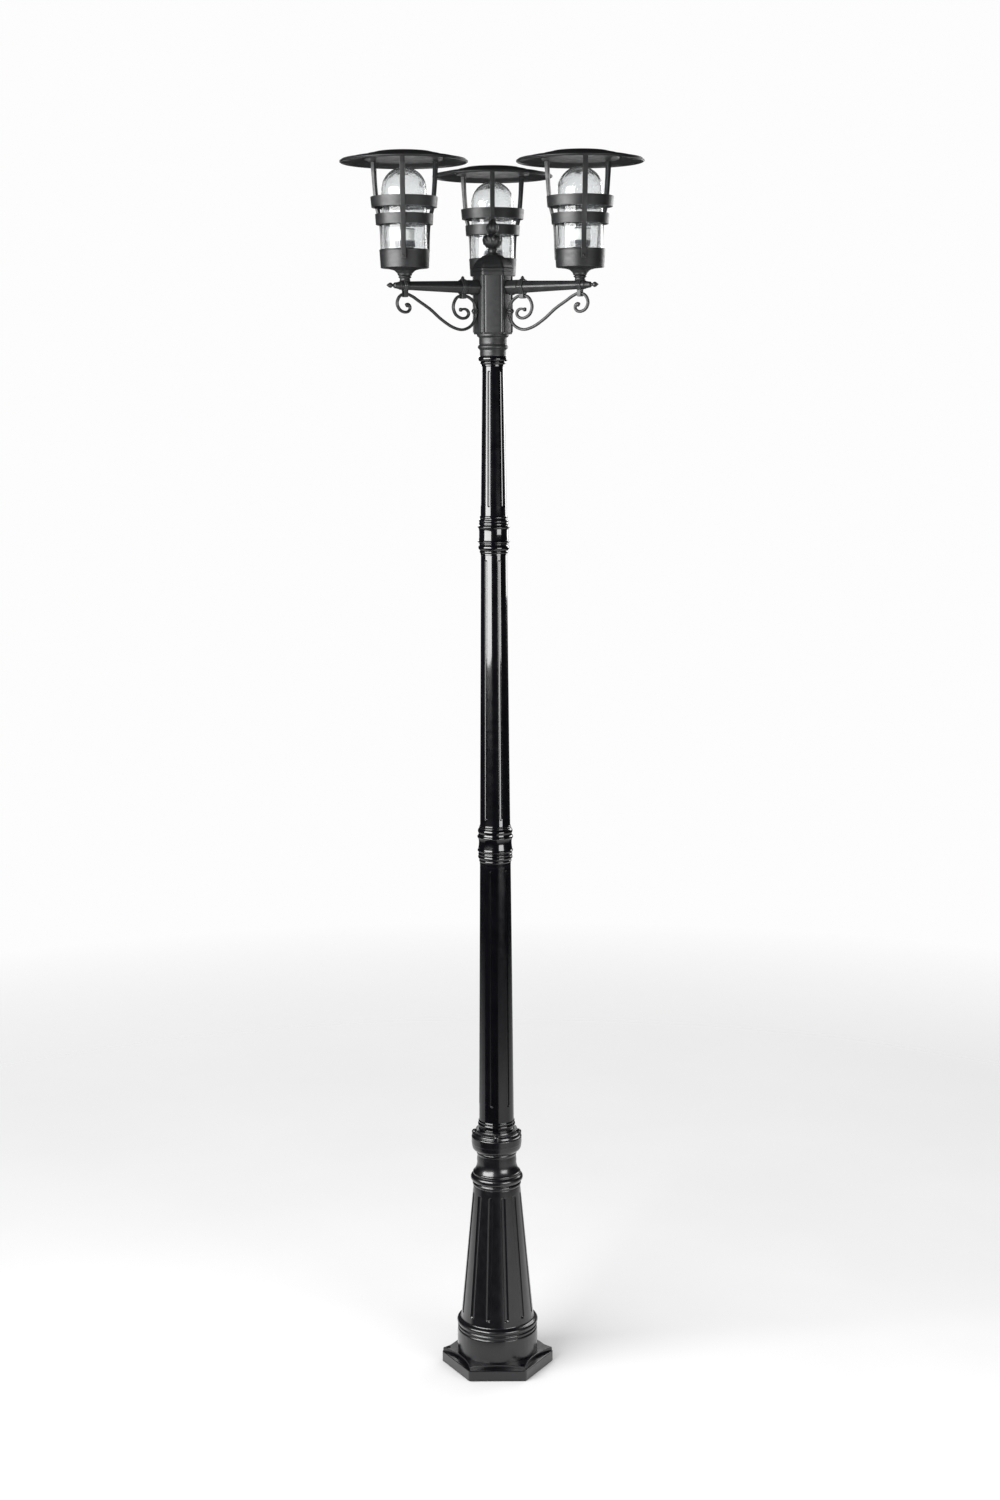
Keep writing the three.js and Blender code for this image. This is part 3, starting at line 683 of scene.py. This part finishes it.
def make_hub():
    corner = HUB_CORNER + 0.3
    plain = HUB_BOTTOM + 3.2
    hub = lofted([
        beaded_hexagon(corner, plain + 0.4), beaded_hexagon(corner, HUB_TOP),
        [p * 0.86 + Vector((0, 0, HUB_TOP * 0.14)) for p in beaded_hexagon(corner, HUB_TOP)],
        [p * 0.86 + Vector((0, 0, (plain + 3) * 0.14)) for p in beaded_hexagon(corner, plain + 3)],
    ], looped=True)
    floor = lofted([
        six_sided(corner - 2.2, HUB_BOTTOM, 0.8), six_sided(corner - 1.4, HUB_BOTTOM + 0.6, 0.8),
        six_sided(corner - 1.4, plain + 0.2, 0.8), six_sided(corner - 2.4, plain + 3.1, 0.8),
        circle(9, plain + 3.1, 24, -0.1), circle(9, HUB_BOTTOM, 24, -0.1),
    ], looped=True)
    piece("hub", [hub, floor], SATIN)


def make_hub_cap():
    """A six-sided ogee with a rim band, and the slim neck over it."""
    bottom = levels("hub_cap")[0]
    side_view = outline([
        (40, bottom - 0.6), (43.2, bottom - 0.6), (43.9, 2382.6), (43.9, 2388.2), (43.0, 2389.2),
        (43.4, 2390.2), (44.7, 2391.6, 0.2), (44.7, 2395.0, 0.4), (43.2, 2396.8), (42.4, 2397.6),
        (37.4, 2407.4, 0.8), (30.6, 2415.4, 0.6), (22.0, 2421.6, -0.4), (15.4, 2424.0, -0.5),
        (10, 2424.2),
    ], 0.4)
    rings = [six_sided(p.x, p.y, min(1.6, 0.05 * p.x)) for p in side_view]
    neck = turned(outline([
        (0, 2416), (12.6, 2416), (12.8, 2423.6), (12.6, 2425.2, 0.5), (11.2, 2425.8),
        (9.5, 2429.6, -0.7), (9.3, 2431.6), (9.4, 2433.2), (10.6, 2433.8), (10.6, 2436, 0.5),
        (0, 2436),
    ], 0.3), SMALL_SIDES)
    piece("hub_cap", [lofted(rings), neck], SATIN)


def leaf(root, tip, width, swell, curl, lift=0.8, steps=12):
    """A pointed leaf that stands on a round body, from its root (radius, height) to its tip."""
    rings = []
    for i in range(steps + 1):
        v = i / steps
        height = root[1] + (tip[1] - root[1]) * v
        radius = root[0] + (tip[0] - root[0]) * v
        radius += swell * math.sin(math.pi * v ** 0.8) + curl * v ** 4
        belly = 0.62 + 0.5 * math.sin(math.pi * min(1, 1.25 * v))
        half = width / 2 * belly * (1 - v ** 3) + 0.05
        front, back = [], []
        for k in range(-4, 5):
            u = k / 4
            rib = 0.55 * math.exp(-(u / 0.16) ** 2)
            valley = 0.5 * math.exp(-((abs(u) - 0.32) / 0.16) ** 2)
            rise = lift + (rib - valley) * (1 - v) + 0.9 * (1 - u * u) - 1.1 * abs(u) ** 3
            angle = u * half / radius
            out, behind = radius + rise, radius - 1.0
            front.append((out * math.cos(angle), out * math.sin(angle), height))
            back.append((behind * math.cos(angle), behind * math.sin(angle), height))
        rings.append([*front, *reversed(back)])
    return lofted(rings)


def make_finial():
    """A cone of three rows of scales, and a pointed bud above it."""
    bottom, top = levels("finial")
    core = turned(outline([
        (0, bottom), (7.6, bottom), (9.6, 2437.6, 0.3), (12.4, 2439.0), (18.6, 2447.0, 1.0),
        (19.6, 2455.0, 0.3), (17.0, 2460.4, 0.7), (12.0, 2463.4, 0.8), (6.4, 2465.4, -0.4),
        (5.6, 2467.6), (8.4, 2472.0), (11.0, 2478.6, 0.4), (8.4, 2485.2, 0.5), (0, top - 1.5),
    ], 0.4), SMALL_SIDES)
    rows = [
        leaf((11.6, 2438.4), (18.6, 2450.4), 12.6, 1.2, 0.4, 0.3),
        leaf((16.8, 2443.8), (20.0, 2457.0), 14.4, 0.5, 0.5, 0.2),
        leaf((19.0, 2450.4), (18.0, 2463.4), 14.4, 0.9, 0.0, 0.2),
    ]
    shells = [core]
    for i, scale in enumerate(rows):
        shells += repeated(scale, 9, i * math.pi / 9)
    petal = leaf((5.4, 2467.2), (0.5, top - 0.4), 11.5, 8.2, 0.0, 0.2)
    low_petal = leaf((5.2, 2466.8), (9.4, 2477.6), 7.0, 2.2, 0.4, 0.3)
    shells += repeated(petal, 6) + repeated(low_petal, 6, math.pi / 6)
    piece("finial", shells, SATIN)


def make_post():
    make_pedestal()
    make_base_collar()
    for name, values in SHAFTS.items():
        make_shaft(name, **values)
    for name, (bore, corners) in COUPLINGS.items():
        piece(name, [turned(bored(corners, bore, 0.4), POST_SIDES, hollow=True)], GLOSS)
    make_neck()
    make_hub()
    make_hub_cap()
    make_finial()


# ---------------------------------------------------------------- the arms
# Arms are made along +X from the post's axis and then turned to their side.

def lying(shell):
    """A shell about Z laid down along X at the arms' height, with the flats above and below."""
    return moved(shell, laid(0, ARM_HEIGHT))


def hex_bar(side_view, blunt=1.3):
    """A six-sided bar whose side view gives the reach of its flats."""
    corner = 1 / FLAT
    rings = [six_sided(max(p.x, 0.01) * corner, p.y, min(blunt, 0.3 * p.x + 0.01), math.pi / 2)
             for p in side_view]
    return lying(lofted(rings))


ARM_OUTLINE = [
    (0, 36.3), (14.0, 36.3), (14.2, 37.4), (14.2, 61.6), (13.6, 63.0), (12.8, 63.6), (12.5, 66.0),
    (8.6, 199.0), (8.6, 216.6), (7.7, 217.8), (7.3, 219.6), (5.8, 229.4, -0.2), (3.0, 231.4),
    (2.7, 233.2, -0.2), (4.4, 235.6), (5.3, 238.0, 0.3), (4.6, 241.4, 0.2), (0, 247.6),
]


def arm_half(reach):
    """Half the arm's height at that reach."""
    heights, reaches = zip(*((c[0], c[1]) for c in ARM_OUTLINE))
    return float(np.interp(reach, reaches, heights))


SCROLL = [
    (203.5, 2316), (199.5, 2318.8), (195.2, 2316.6), (194.2, 2311), (198, 2305.8), (205.5, 2304),
    (217, 2308.5), (223.4, 2321), (218, 2335), (205, 2340.8), (190, 2336.5), (174, 2327),
    (147, 2310.5), (122, 2291), (94, 2275), (72, 2270.6), (53, 2278), (42.2, 2293), (40.2, 2309),
    (45, 2326.5), (56.5, 2336.2), (71, 2339.6), (85, 2335.2), (93.6, 2318), (88, 2301.4),
    (73, 2293.6), (61, 2296.6), (57.4, 2304), (61.4, 2310.6), (68, 2312.6), (75, 2311),
]

# A quarter of the scroll bar's section: across the bar, then through it
SCROLL_CORNER = [(3.5, 0.7), (2.8, 1.2), (2.7, 1.8), (2.2, 2.6), (1.4, 2.9)]
FLARE_LENGTH, TIP_LENGTH, TAPER_LENGTH = 13, 3, 16


def scroll_bar():
    """A bar with a ridge along each face, a flared outer end and a small ball at the inner one."""
    line = smooth_line([Vector(point) for point in SCROLL], 7)
    section = [*SCROLL_CORNER, *((-a, t) for a, t in reversed(SCROLL_CORNER))]
    section += [(-a, -t) for a, t in section]
    lengths = [0.0]
    for a, b in zip(line, line[1:]):
        lengths.append(lengths[-1] + (b - a).length)
    rings = []
    for i, point in enumerate(line):
        ahead, behind = line[min(i + 1, len(line) - 1)], line[max(i - 1, 0)]
        along = ahead - behind
        through = Vector((-along.y, along.x)).normalized()
        start, left = lengths[i], lengths[-1] - lengths[i]
        flare = 1 + 0.8 * max(0, 1 - start / FLARE_LENGTH) ** 1.2
        tip = math.sqrt(1 - 0.8 * max(0, 1 - start / TIP_LENGTH) ** 2)
        taper = (1 - 0.28 * max(0, 1 - left / TAPER_LENGTH)) * tip
        ring = []
        for across, thick in section:
            place = point + through * thick * flare * taper
            ring.append((place.x, across * taper, place.y))
        rings.append(ring)
    end = line[-1]
    ball = turned(outline([(0, -3.9), (3.9, 0, 1.615), (0, 3.9, 1.615)], 0), LUG_SIDES)
    return [lofted(rings), moved(ball, Matrix.Translation((end.x + 1.2, 0, end.y)))]


def loop_outline(half_width, bottom, top, soft):
    """A rectangle with rounded corners, centred across."""
    corners = [Vector((half_width, top)), Vector((-half_width, top)),
               Vector((-half_width, bottom)), Vector((half_width, bottom))]
    return softened(corners, soft, closed=True)


def arm_clip(reach, length, loop_bottom):
    """A band round the arm and the loop under it that holds the scroll."""
    half = arm_half(reach)
    corner = 1 / FLAT
    low, high = reach - length / 2, reach + length / 2

    def hexagon(size):
        return [Vector((p[0], p[1] + ARM_HEIGHT)) for p in six_sided(size * corner, 0, 0.8)]

    collar = band(hexagon(half + 2.1), hexagon(half - 1.5), low, high, 0.8)
    ridge = band(hexagon(half + 2.7), hexagon(half + 0.6),
                 reach - length / 6, reach + length / 6, 0.6)
    top = ARM_HEIGHT - half + 0.6
    outer = loop_outline(6.6, loop_bottom, top, 1.8)
    inner = loop_outline(4.6, loop_bottom + 2.3, top - 0.8, 0.8)
    return [collar, ridge, band(outer, inner, low + 0.8, high - 0.8, 0.7)]


def hub_clip():
    """Two narrow bands round the scroll, and a pointed stud between them."""
    lay = laid(0, sum(levels("left_hub_clip")) / 2)
    outer = loop_outline(6.4, HUB_FACE + 0.2, 46.4, 1.6)
    inner = loop_outline(4.5, HUB_FACE + 0.8, 44.4, 1.0)
    shells = [moved(band(outer, inner, start, start + 3.4, 0.6), lay) for start in (-4.6, 1.2)]
    stud = turned(outline([
        (0, 45.2), (3.2, 45.2), (3.4, 46.2), (4.6, 46.8), (4.6, 47.6), (3.0, 48.4), (0, 51.6),
    ], 0.3), STUD_SIDES)
    return [*shells, moved(stud, lay)]


def clip_bolt():
    bottom, top = levels("left_clip_bolt")
    return moved(turned(outline([
        (0, bottom - 0.6), (5.6, bottom - 0.6), (5.8, bottom + 0.8), (5.4, bottom + 2.0, 0.2),
        (3.3, bottom + 2.8), (3.1, bottom + 3.6), (3.7, bottom + 4.4, 0.2), (0, top + 0.8, 0.5),
    ], 0.3), HOLE_SIDES), Matrix.Translation((INNER_CLIP_REACH, 0, 0)))


def slotted_head(radius, height):
    """A low screw head about Z, and the block to cut from it for its slot."""
    head = turned(outline([
        (0, -0.8), (radius, -0.8), (radius, 0.45 * height), (0, height, 0.16 * height),
    ], 0.3), HOLE_SIDES)
    long, wide = radius * 1.2, 0.14 * radius
    return head, lofted([
        [(-long, -wide, z), (long, -wide, z), (long, wide, z), (-long, wide, z)]
        for z in (0.4 * height, 1.6 * height)
    ])


def screw(name, radius, height, places, body, slot):
    """Slotted screws, one at each place, as one piece."""
    head, cut = slotted_head(radius, height)
    pattern = new_object("pattern", [head])
    combine(pattern, [cut], "DIFFERENCE")
    mesh = pattern.data
    shell = ([v.co / MM for v in mesh.vertices], [tuple(f.vertices) for f in mesh.polygons])
    bpy.data.objects.remove(pattern)
    extra(name, [moved(shell, place) for place in places], slot, body)


def make_arm(side):
    turn = Matrix.Rotation(ARM_ANGLE[side], 4, "Z")
    piece(f"{side}_arm", [hex_bar(outline(ARM_OUTLINE, 0.5))], SATIN, place=turn)
    piece(f"{side}_scroll", scroll_bar(), SATIN, place=turn)
    piece(f"{side}_inner_clip", arm_clip(INNER_CLIP_REACH, 12, 2333.4), SATIN, place=turn)
    piece(f"{side}_outer_clip", arm_clip(LANTERN_REACH, 10, 2333.9), SATIN, place=turn)
    piece(f"{side}_hub_clip", hub_clip(), SATIN, place=turn)
    piece(f"{side}_clip_bolt", [clip_bolt()], SATIN, place=turn)
    under = Matrix.Translation((46, 0, ARM_HEIGHT - 13.6)) @ Matrix.Rotation(math.pi, 4, "X")
    slot_turn = Matrix.Rotation(0.5, 4, "Z")
    screw(f"{side}_set_screw", 6.4, 3.0, [turn @ under @ slot_turn], "post", SATIN)


# ---------------------------------------------------------------- the lanterns
# Lanterns are made about their own upright axis, with the cage's first bar towards +X.

CAGE_OUTSIDE = [(54, 2408), (55, 2425), (55.8, 2450), (57.9, 2478), (63.6, 2500), (66.6, 2510),
                (70.9, 2535), (74.2, 2570), (77, 2604.3)]
CAGE_INSIDE = [(50.6, 2408), (51.5, 2428), (52, 2450), (53.6, 2476), (57.6, 2496), (61, 2509),
               (64.4, 2533), (67.6, 2570), (68.6, 2604.3)]


def cage_bar():
    """An upright bar, whose near and far faces follow their own side views."""
    half_width, soft = 5.1, 1.1

    def curve(corners):
        line = smooth_line([Vector(c) for c in corners], 6)
        return [p.y for p in line], [p.x for p in line]

    outside, inside = curve(CAGE_OUTSIDE), curve(CAGE_INSIDE)
    rings = []
    for z in np.linspace(CAGE_OUTSIDE[0][1], CAGE_OUTSIDE[-1][1], 64):
        far, near = float(np.interp(z, *outside)), float(np.interp(z, *inside))
        corners = [Vector((near, -half_width)), Vector((far, -half_width)),
                   Vector((far, half_width)), Vector((near, half_width))]
        rings.append([(p.x, p.y, z) for p in softened(corners, soft, closed=True)])
    return lofted(rings)


def cage_ring(bottom, top, bottom_radius, top_radius):
    thickness = 3.6
    return turned(outline([
        (bottom_radius, bottom), (top_radius, top), (top_radius - thickness, top),
        (bottom_radius - thickness, bottom),
    ], 0.8, closed=True), LANTERN_SIDES, hollow=True)


def make_cage(side, place):
    obj = new_object(f"{side}_cage_finished", [cage_ring(2511, 2532, 66.2, 68.2)])
    rest = [cage_ring(2477, 2498, 57.6, 59.0), *repeated(cage_bar(), 3)]
    combine(obj, rest, "UNION")
    obj.data.transform(Matrix.Translation(place.translation * MM) @ place.to_3x3().to_4x4())
    finished(obj, f"{side}_top", [f"{side}_cage"], MATERIALS[SATIN])


def glass_shell(side):
    """A thick glass with a domed top, whose surfaces are slightly uneven."""
    bottom, top = levels(f"{side}_glass")
    radius, wall = 46.0, 3.0
    wave_height, pit_height = 0.34, 0.1
    shoulder = top - radius
    drift = Vector((SIDES.index(side) * 37.0, 11.0, 5.0))

    def rim(size, turn):
        return Vector((size * math.cos(turn), shoulder + size * math.sin(turn)))

    straight = np.linspace(bottom, shoulder, 34)
    arc = np.linspace(0, math.pi / 2, 22)[1:]
    outside = [Vector((radius, z)) for z in straight] + [rim(radius, a) for a in arc]
    inside = [rim(radius - wall, a) for a in reversed(arc)]
    inside += [Vector((radius - wall, z)) for z in reversed(straight)]
    points, faces = turned([*outside, *inside], GLASS_SIDES, hollow=True)
    uneven = []
    for point in points:
        out = Vector((point.x, point.y, 0))
        if out.length > 0.5:
            wave = Vector((point.x / 9, point.y / 9, point.z / 48)) + drift
            pit = Vector((point.x / 3.5, point.y / 3.5, point.z / 9)) + drift
            rise = wave_height * noise.noise(wave) + pit_height * noise.noise(pit)
            point = point + out.normalized() * rise
        uneven.append(point)
    return uneven, faces


def make_glass_fittings(side, place):
    """The holder inside the glass: base, ceramic body, collar, rim, threaded shell, contact."""
    piece(f"{side}_holder_base", [turned(outline([
        (0, 2398.3), (23.6, 2398.3), (24, 2399.2), (24, 2401.6), (22, 2403.2),
        (18.6, 2404.8, -0.4), (17.6, 2407), (17.6, 2414), (16.6, 2415), (16.6, 2417),
        (17.6, 2418), (17.6, 2432), (0, 2432),
    ], 0.4), SMALL_SIDES)], "dark_plastic", place=place)
    piece(f"{side}_lamp_holder", [turned(outline([
        (0, 2432.3), (18.4, 2432.3), (19.6, 2434.6), (20.3, 2437), (20.3, 2444), (20.6, 2445.4),
        (20.6, 2458), (20.2, 2459), (20.2, 2460.4), (20.6, 2461.4), (20.5, 2467.6),
        (19.4, 2469, 0.4), (15.2, 2469), (14.3, 2467.6), (14.3, 2443), (0, 2443),
    ], 0.5), SMALL_SIDES)], "ceramic", place=place)
    grips = [(21.3, 2433.2)]
    for k in range(5):
        grips += [(21.3, 2434.4 + 2 * k), (20.7, 2434.9 + 2 * k), (20.7, 2435.4 + 2 * k),
                  (21.3, 2435.9 + 2 * k)]
    collar = turned(bored([*grips, (21.3, 2445.2)], 20.35, 0.2), SMALL_SIDES, hollow=True)
    rim = turned(bored([(20.9, 2466.9), (21.0, 2468.6, 0.2), (20.2, 2469.6)], 15.4, 0.2),
                 SMALL_SIDES, hollow=True)
    extra(f"{side}_holder_collar", [collar, rim], "dark_plastic", place=place)
    thread = [(13.2, 2443.6)]
    for k in range(5):
        thread += [(13.2, 2445 + 4 * k), (14.0, 2447 + 4 * k, 0.35), (13.2, 2449 + 4 * k, 0.35)]
    shell = turned(outline([*thread, (13.6, 2466.4), (13.0, 2466.4), (12.7, 2443.6)], 0.1, True),
                   SMALL_SIDES, hollow=True)
    contact = moved(rounded_block(9, 3.4, 3.2, 0.5), Matrix.Translation((0, 0, 2443)))
    extra(f"{side}_socket_thread", [shell, contact], "steel", place=place)


def make_lantern(side):
    place = (Matrix.Translation(LANTERN[side])
             @ Matrix.Rotation(math.radians(CAGE_TURN[side]), 4, "Z"))
    top_body = f"{side}_top"
    low, high = levels(f"{side}_stem")
    piece(f"{side}_stem", [turned(outline([
        (0, low - 1.6), (10.4, low - 1.6), (11.2, low), (10.6, low + 1.8, -0.3), (10.4, 2370.6),
        (11.2, 2371.6), (11.9, 2372.2), (11.9, 2375.2, 1.3), (10.6, high), (0, high),
    ], 0.3), SMALL_SIDES)], SATIN, place=place)
    piece(f"{side}_cup", [turned(outline([
        (0, 2376.3), (13.4, 2376.3), (14.4, 2378.2), (17.6, 2383.4, -0.7), (25.4, 2388.0, -0.9),
        (38.0, 2390.4, -0.5), (47.6, 2391.4), (49.0, 2392.6, 0.3), (50.9, 2424.6),
        (51.2, 2426.8, 0.3), (50.0, 2428.2, 0.3), (48.2, 2427.6), (47.5, 2426.6), (46.9, 2398.2),
        (0, 2398.2),
    ], 0.4), LANTERN_SIDES)], SATIN, place=place)
    low, high = levels(f"{side}_gasket")
    piece(f"{side}_gasket", [turned(outline([
        (46.4, low), (46.4, high), (41.2, high), (41.2, low),
    ], 0.6, closed=True), LANTERN_SIDES, hollow=True)], "gasket_rubber", place=place)
    piece(f"{side}_glass", [glass_shell(side)], "clear_glass", place=place)
    make_glass_fittings(side, place)
    make_cage(side, place)
    screw(f"{side}_cage_screws", 2.3, 1.5, [
        place @ Matrix.Rotation(2 * math.pi * k / 3, 4, "Z") @ laid(53.9, 2413)
        @ Matrix.Rotation(0.7 + k, 4, "Z") for k in range(3)
    ], top_body, SATIN)
    piece(f"{side}_roof_tray", [turned(outline([
        (0, 2604.6), (76.4, 2604.6), (78.8, 2606.2, 0.4), (79.2, 2609.0), (76.2, 2609.2),
        (74.6, 2607.6), (0, 2607.6),
    ], 0.4), LANTERN_SIDES)], SATIN, top_body, place)
    piece(f"{side}_roof", [turned(outline([
        (0, 2623), (16, 2622.7), (30, 2622.0, 0.1), (58, 2619.4, 0.4), (75.4, 2615.4, 0.3),
        (78.4, 2613.9), (81.4, 2612.7), (104, 2609.6, 0.2), (125.6, 2605.2, 0.3),
        (129.3, 2602.6, 0.7), (129.4, 2600.2, 0.6), (127.4, 2598.9, 0.5), (125.6, 2600.2, 0.5),
        (125.4, 2601.8, 0.2), (104, 2606.6, -0.2), (81, 2609.7), (77.4, 2611.4),
        (58, 2616.5, -0.3), (0, 2620),
    ], 0.5), LANTERN_SIDES)], SATIN, top_body, place)


# ---------------------------------------------------------------- studio

# Everything in the studio is in metres.

def make_floor():
    """A pale floor disc that fades out before any horizon."""
    radius, drop, sides = 9.0, 0.0005, 96
    mesh = bpy.data.meshes.new("floor")
    mesh.from_pydata(circle(radius, -drop, sides), [], [tuple(range(sides))])
    floor = linked("floor", mesh)
    material, tree, shader = new_material("floor")
    place = node(tree, "ShaderNodeTexCoord").outputs["Object"]
    distance = node(tree, "ShaderNodeVectorMath", {0: place}, operation="LENGTH").outputs["Value"]
    connect(tree, shader, Base_Color=grey(tree, 1.5, 0.46, 0.48),
            Alpha=ranged(tree, distance, 1.0, 0.0, 0.7, 4.2))
    fixed(shader, {"Roughness": 0.9, "Specular IOR Level": 0.1})
    mesh.materials.append(material)


def make_flag():
    """A dark card that only reflections see: it keeps the pale floor out of the post's front."""
    left, right, steps, height = math.radians(-172), math.radians(-76), 12, 0.002

    def arc(radius, start, end):
        return [(radius * math.cos(a), radius * math.sin(a), height)
                for a in np.linspace(start, end, steps)]

    mesh = bpy.data.meshes.new("flag")
    mesh.from_pydata([*arc(6, left, right), *arc(0.32, right, left)], [],
                     [tuple(range(2 * steps))])
    flag = linked("flag", mesh)
    material, tree, shader = new_material("flag")
    connect(tree, shader, Base_Color=grey(tree, 3, 0.004, 0.008))
    fixed(shader, {"Roughness": 1.0, "Specular IOR Level": 0.0})
    mesh.materials.append(material)
    for ray in ("camera", "diffuse", "shadow", "transmission", "volume_scatter"):
        setattr(flag, f"visible_{ray}", False)


def softbox(name, azimuth, height, distance, width, tall, power):
    """A soft lamp that faces the post. Azimuth 0 is the front and 90 the right."""
    angle = math.radians(azimuth)
    data = bpy.data.lights.new(name, "AREA")
    data.shape = "RECTANGLE"
    data.size, data.size_y = width, tall
    data.energy = power
    lamp = linked(name, data)
    lamp.location = (distance * math.sin(angle), -distance * math.cos(angle), height)
    aim = Vector((0, 0, height)) - lamp.location
    lamp.rotation_euler = aim.to_track_quat("-Z", "Y").to_euler()
    lamp.visible_camera = False
    lamp.visible_transmission = False


def make_studio():
    """A bright world that reflections see as dark, four lamps, the floor and the flag."""
    world = bpy.data.worlds.new("studio")
    bpy.context.scene.world = world
    world.use_nodes = True
    tree = world.node_tree
    path = node(tree, "ShaderNodeLightPath")
    dim = node(tree, "ShaderNodeBackground", {"Color": shade((0.9, 0.92, 1)), "Strength": 0.02})
    bright = tree.nodes["Background"]
    fixed(bright, {"Color": shade((1, 1, 1)), "Strength": 0.98})
    reflected = node(tree, "ShaderNodeMath", {
        0: path.outputs["Is Glossy Ray"], 1: path.outputs["Is Transmission Ray"],
    }, operation="SUBTRACT", use_clamp=True)
    mixed = node(tree, "ShaderNodeMixShader", {
        0: reflected.outputs[0], 1: bright.outputs[0], 2: dim.outputs[0],
    })
    tree.links.new(mixed.outputs[0], tree.nodes["World Output"].inputs["Surface"])
    softbox("left_box", -50, 2.25, 2.6, 2.8, 1.9, 240)
    softbox("right_box", 42, 1.2, 2.6, 1.5, 1.0, 48)
    softbox("right_rim_box", 140, 2.4, 2.6, 1.2, 1.8, 34)
    softbox("back_wall", 180, 2.6, 4.0, 2.4, 1.1, 24)
    make_floor()
    make_flag()
    bpy.context.scene.view_settings.view_transform = "Standard"


def make_camera():
    data = bpy.data.cameras.new("camera")
    data.lens = 52.8
    data.sensor_width = 36
    data.clip_end = 100
    camera = linked("camera", data)
    below_level, lean = 9.04, -0.244  # in degrees
    pitch = Matrix.Rotation(math.radians(90 - below_level), 4, "X")
    roll = Matrix.Rotation(math.radians(lean), 4, "Z")
    camera.matrix_world = Matrix.Translation((0.0111, -4.658, 2.127)) @ pitch @ roll
    bpy.context.scene.camera = camera


make_camera()
make_studio()
make_post()
for side in SIDES:
    make_arm(side)
    make_lantern(side)
KEPT_NODES = {"tie_rod": "steel", "tie_rod_nut": "steel", "terminal_block": "dark_plastic"}
for name, slot in KEPT_NODES.items():
    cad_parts[name].data.materials.clear()
    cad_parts[name].data.materials.append(MATERIALS[slot])
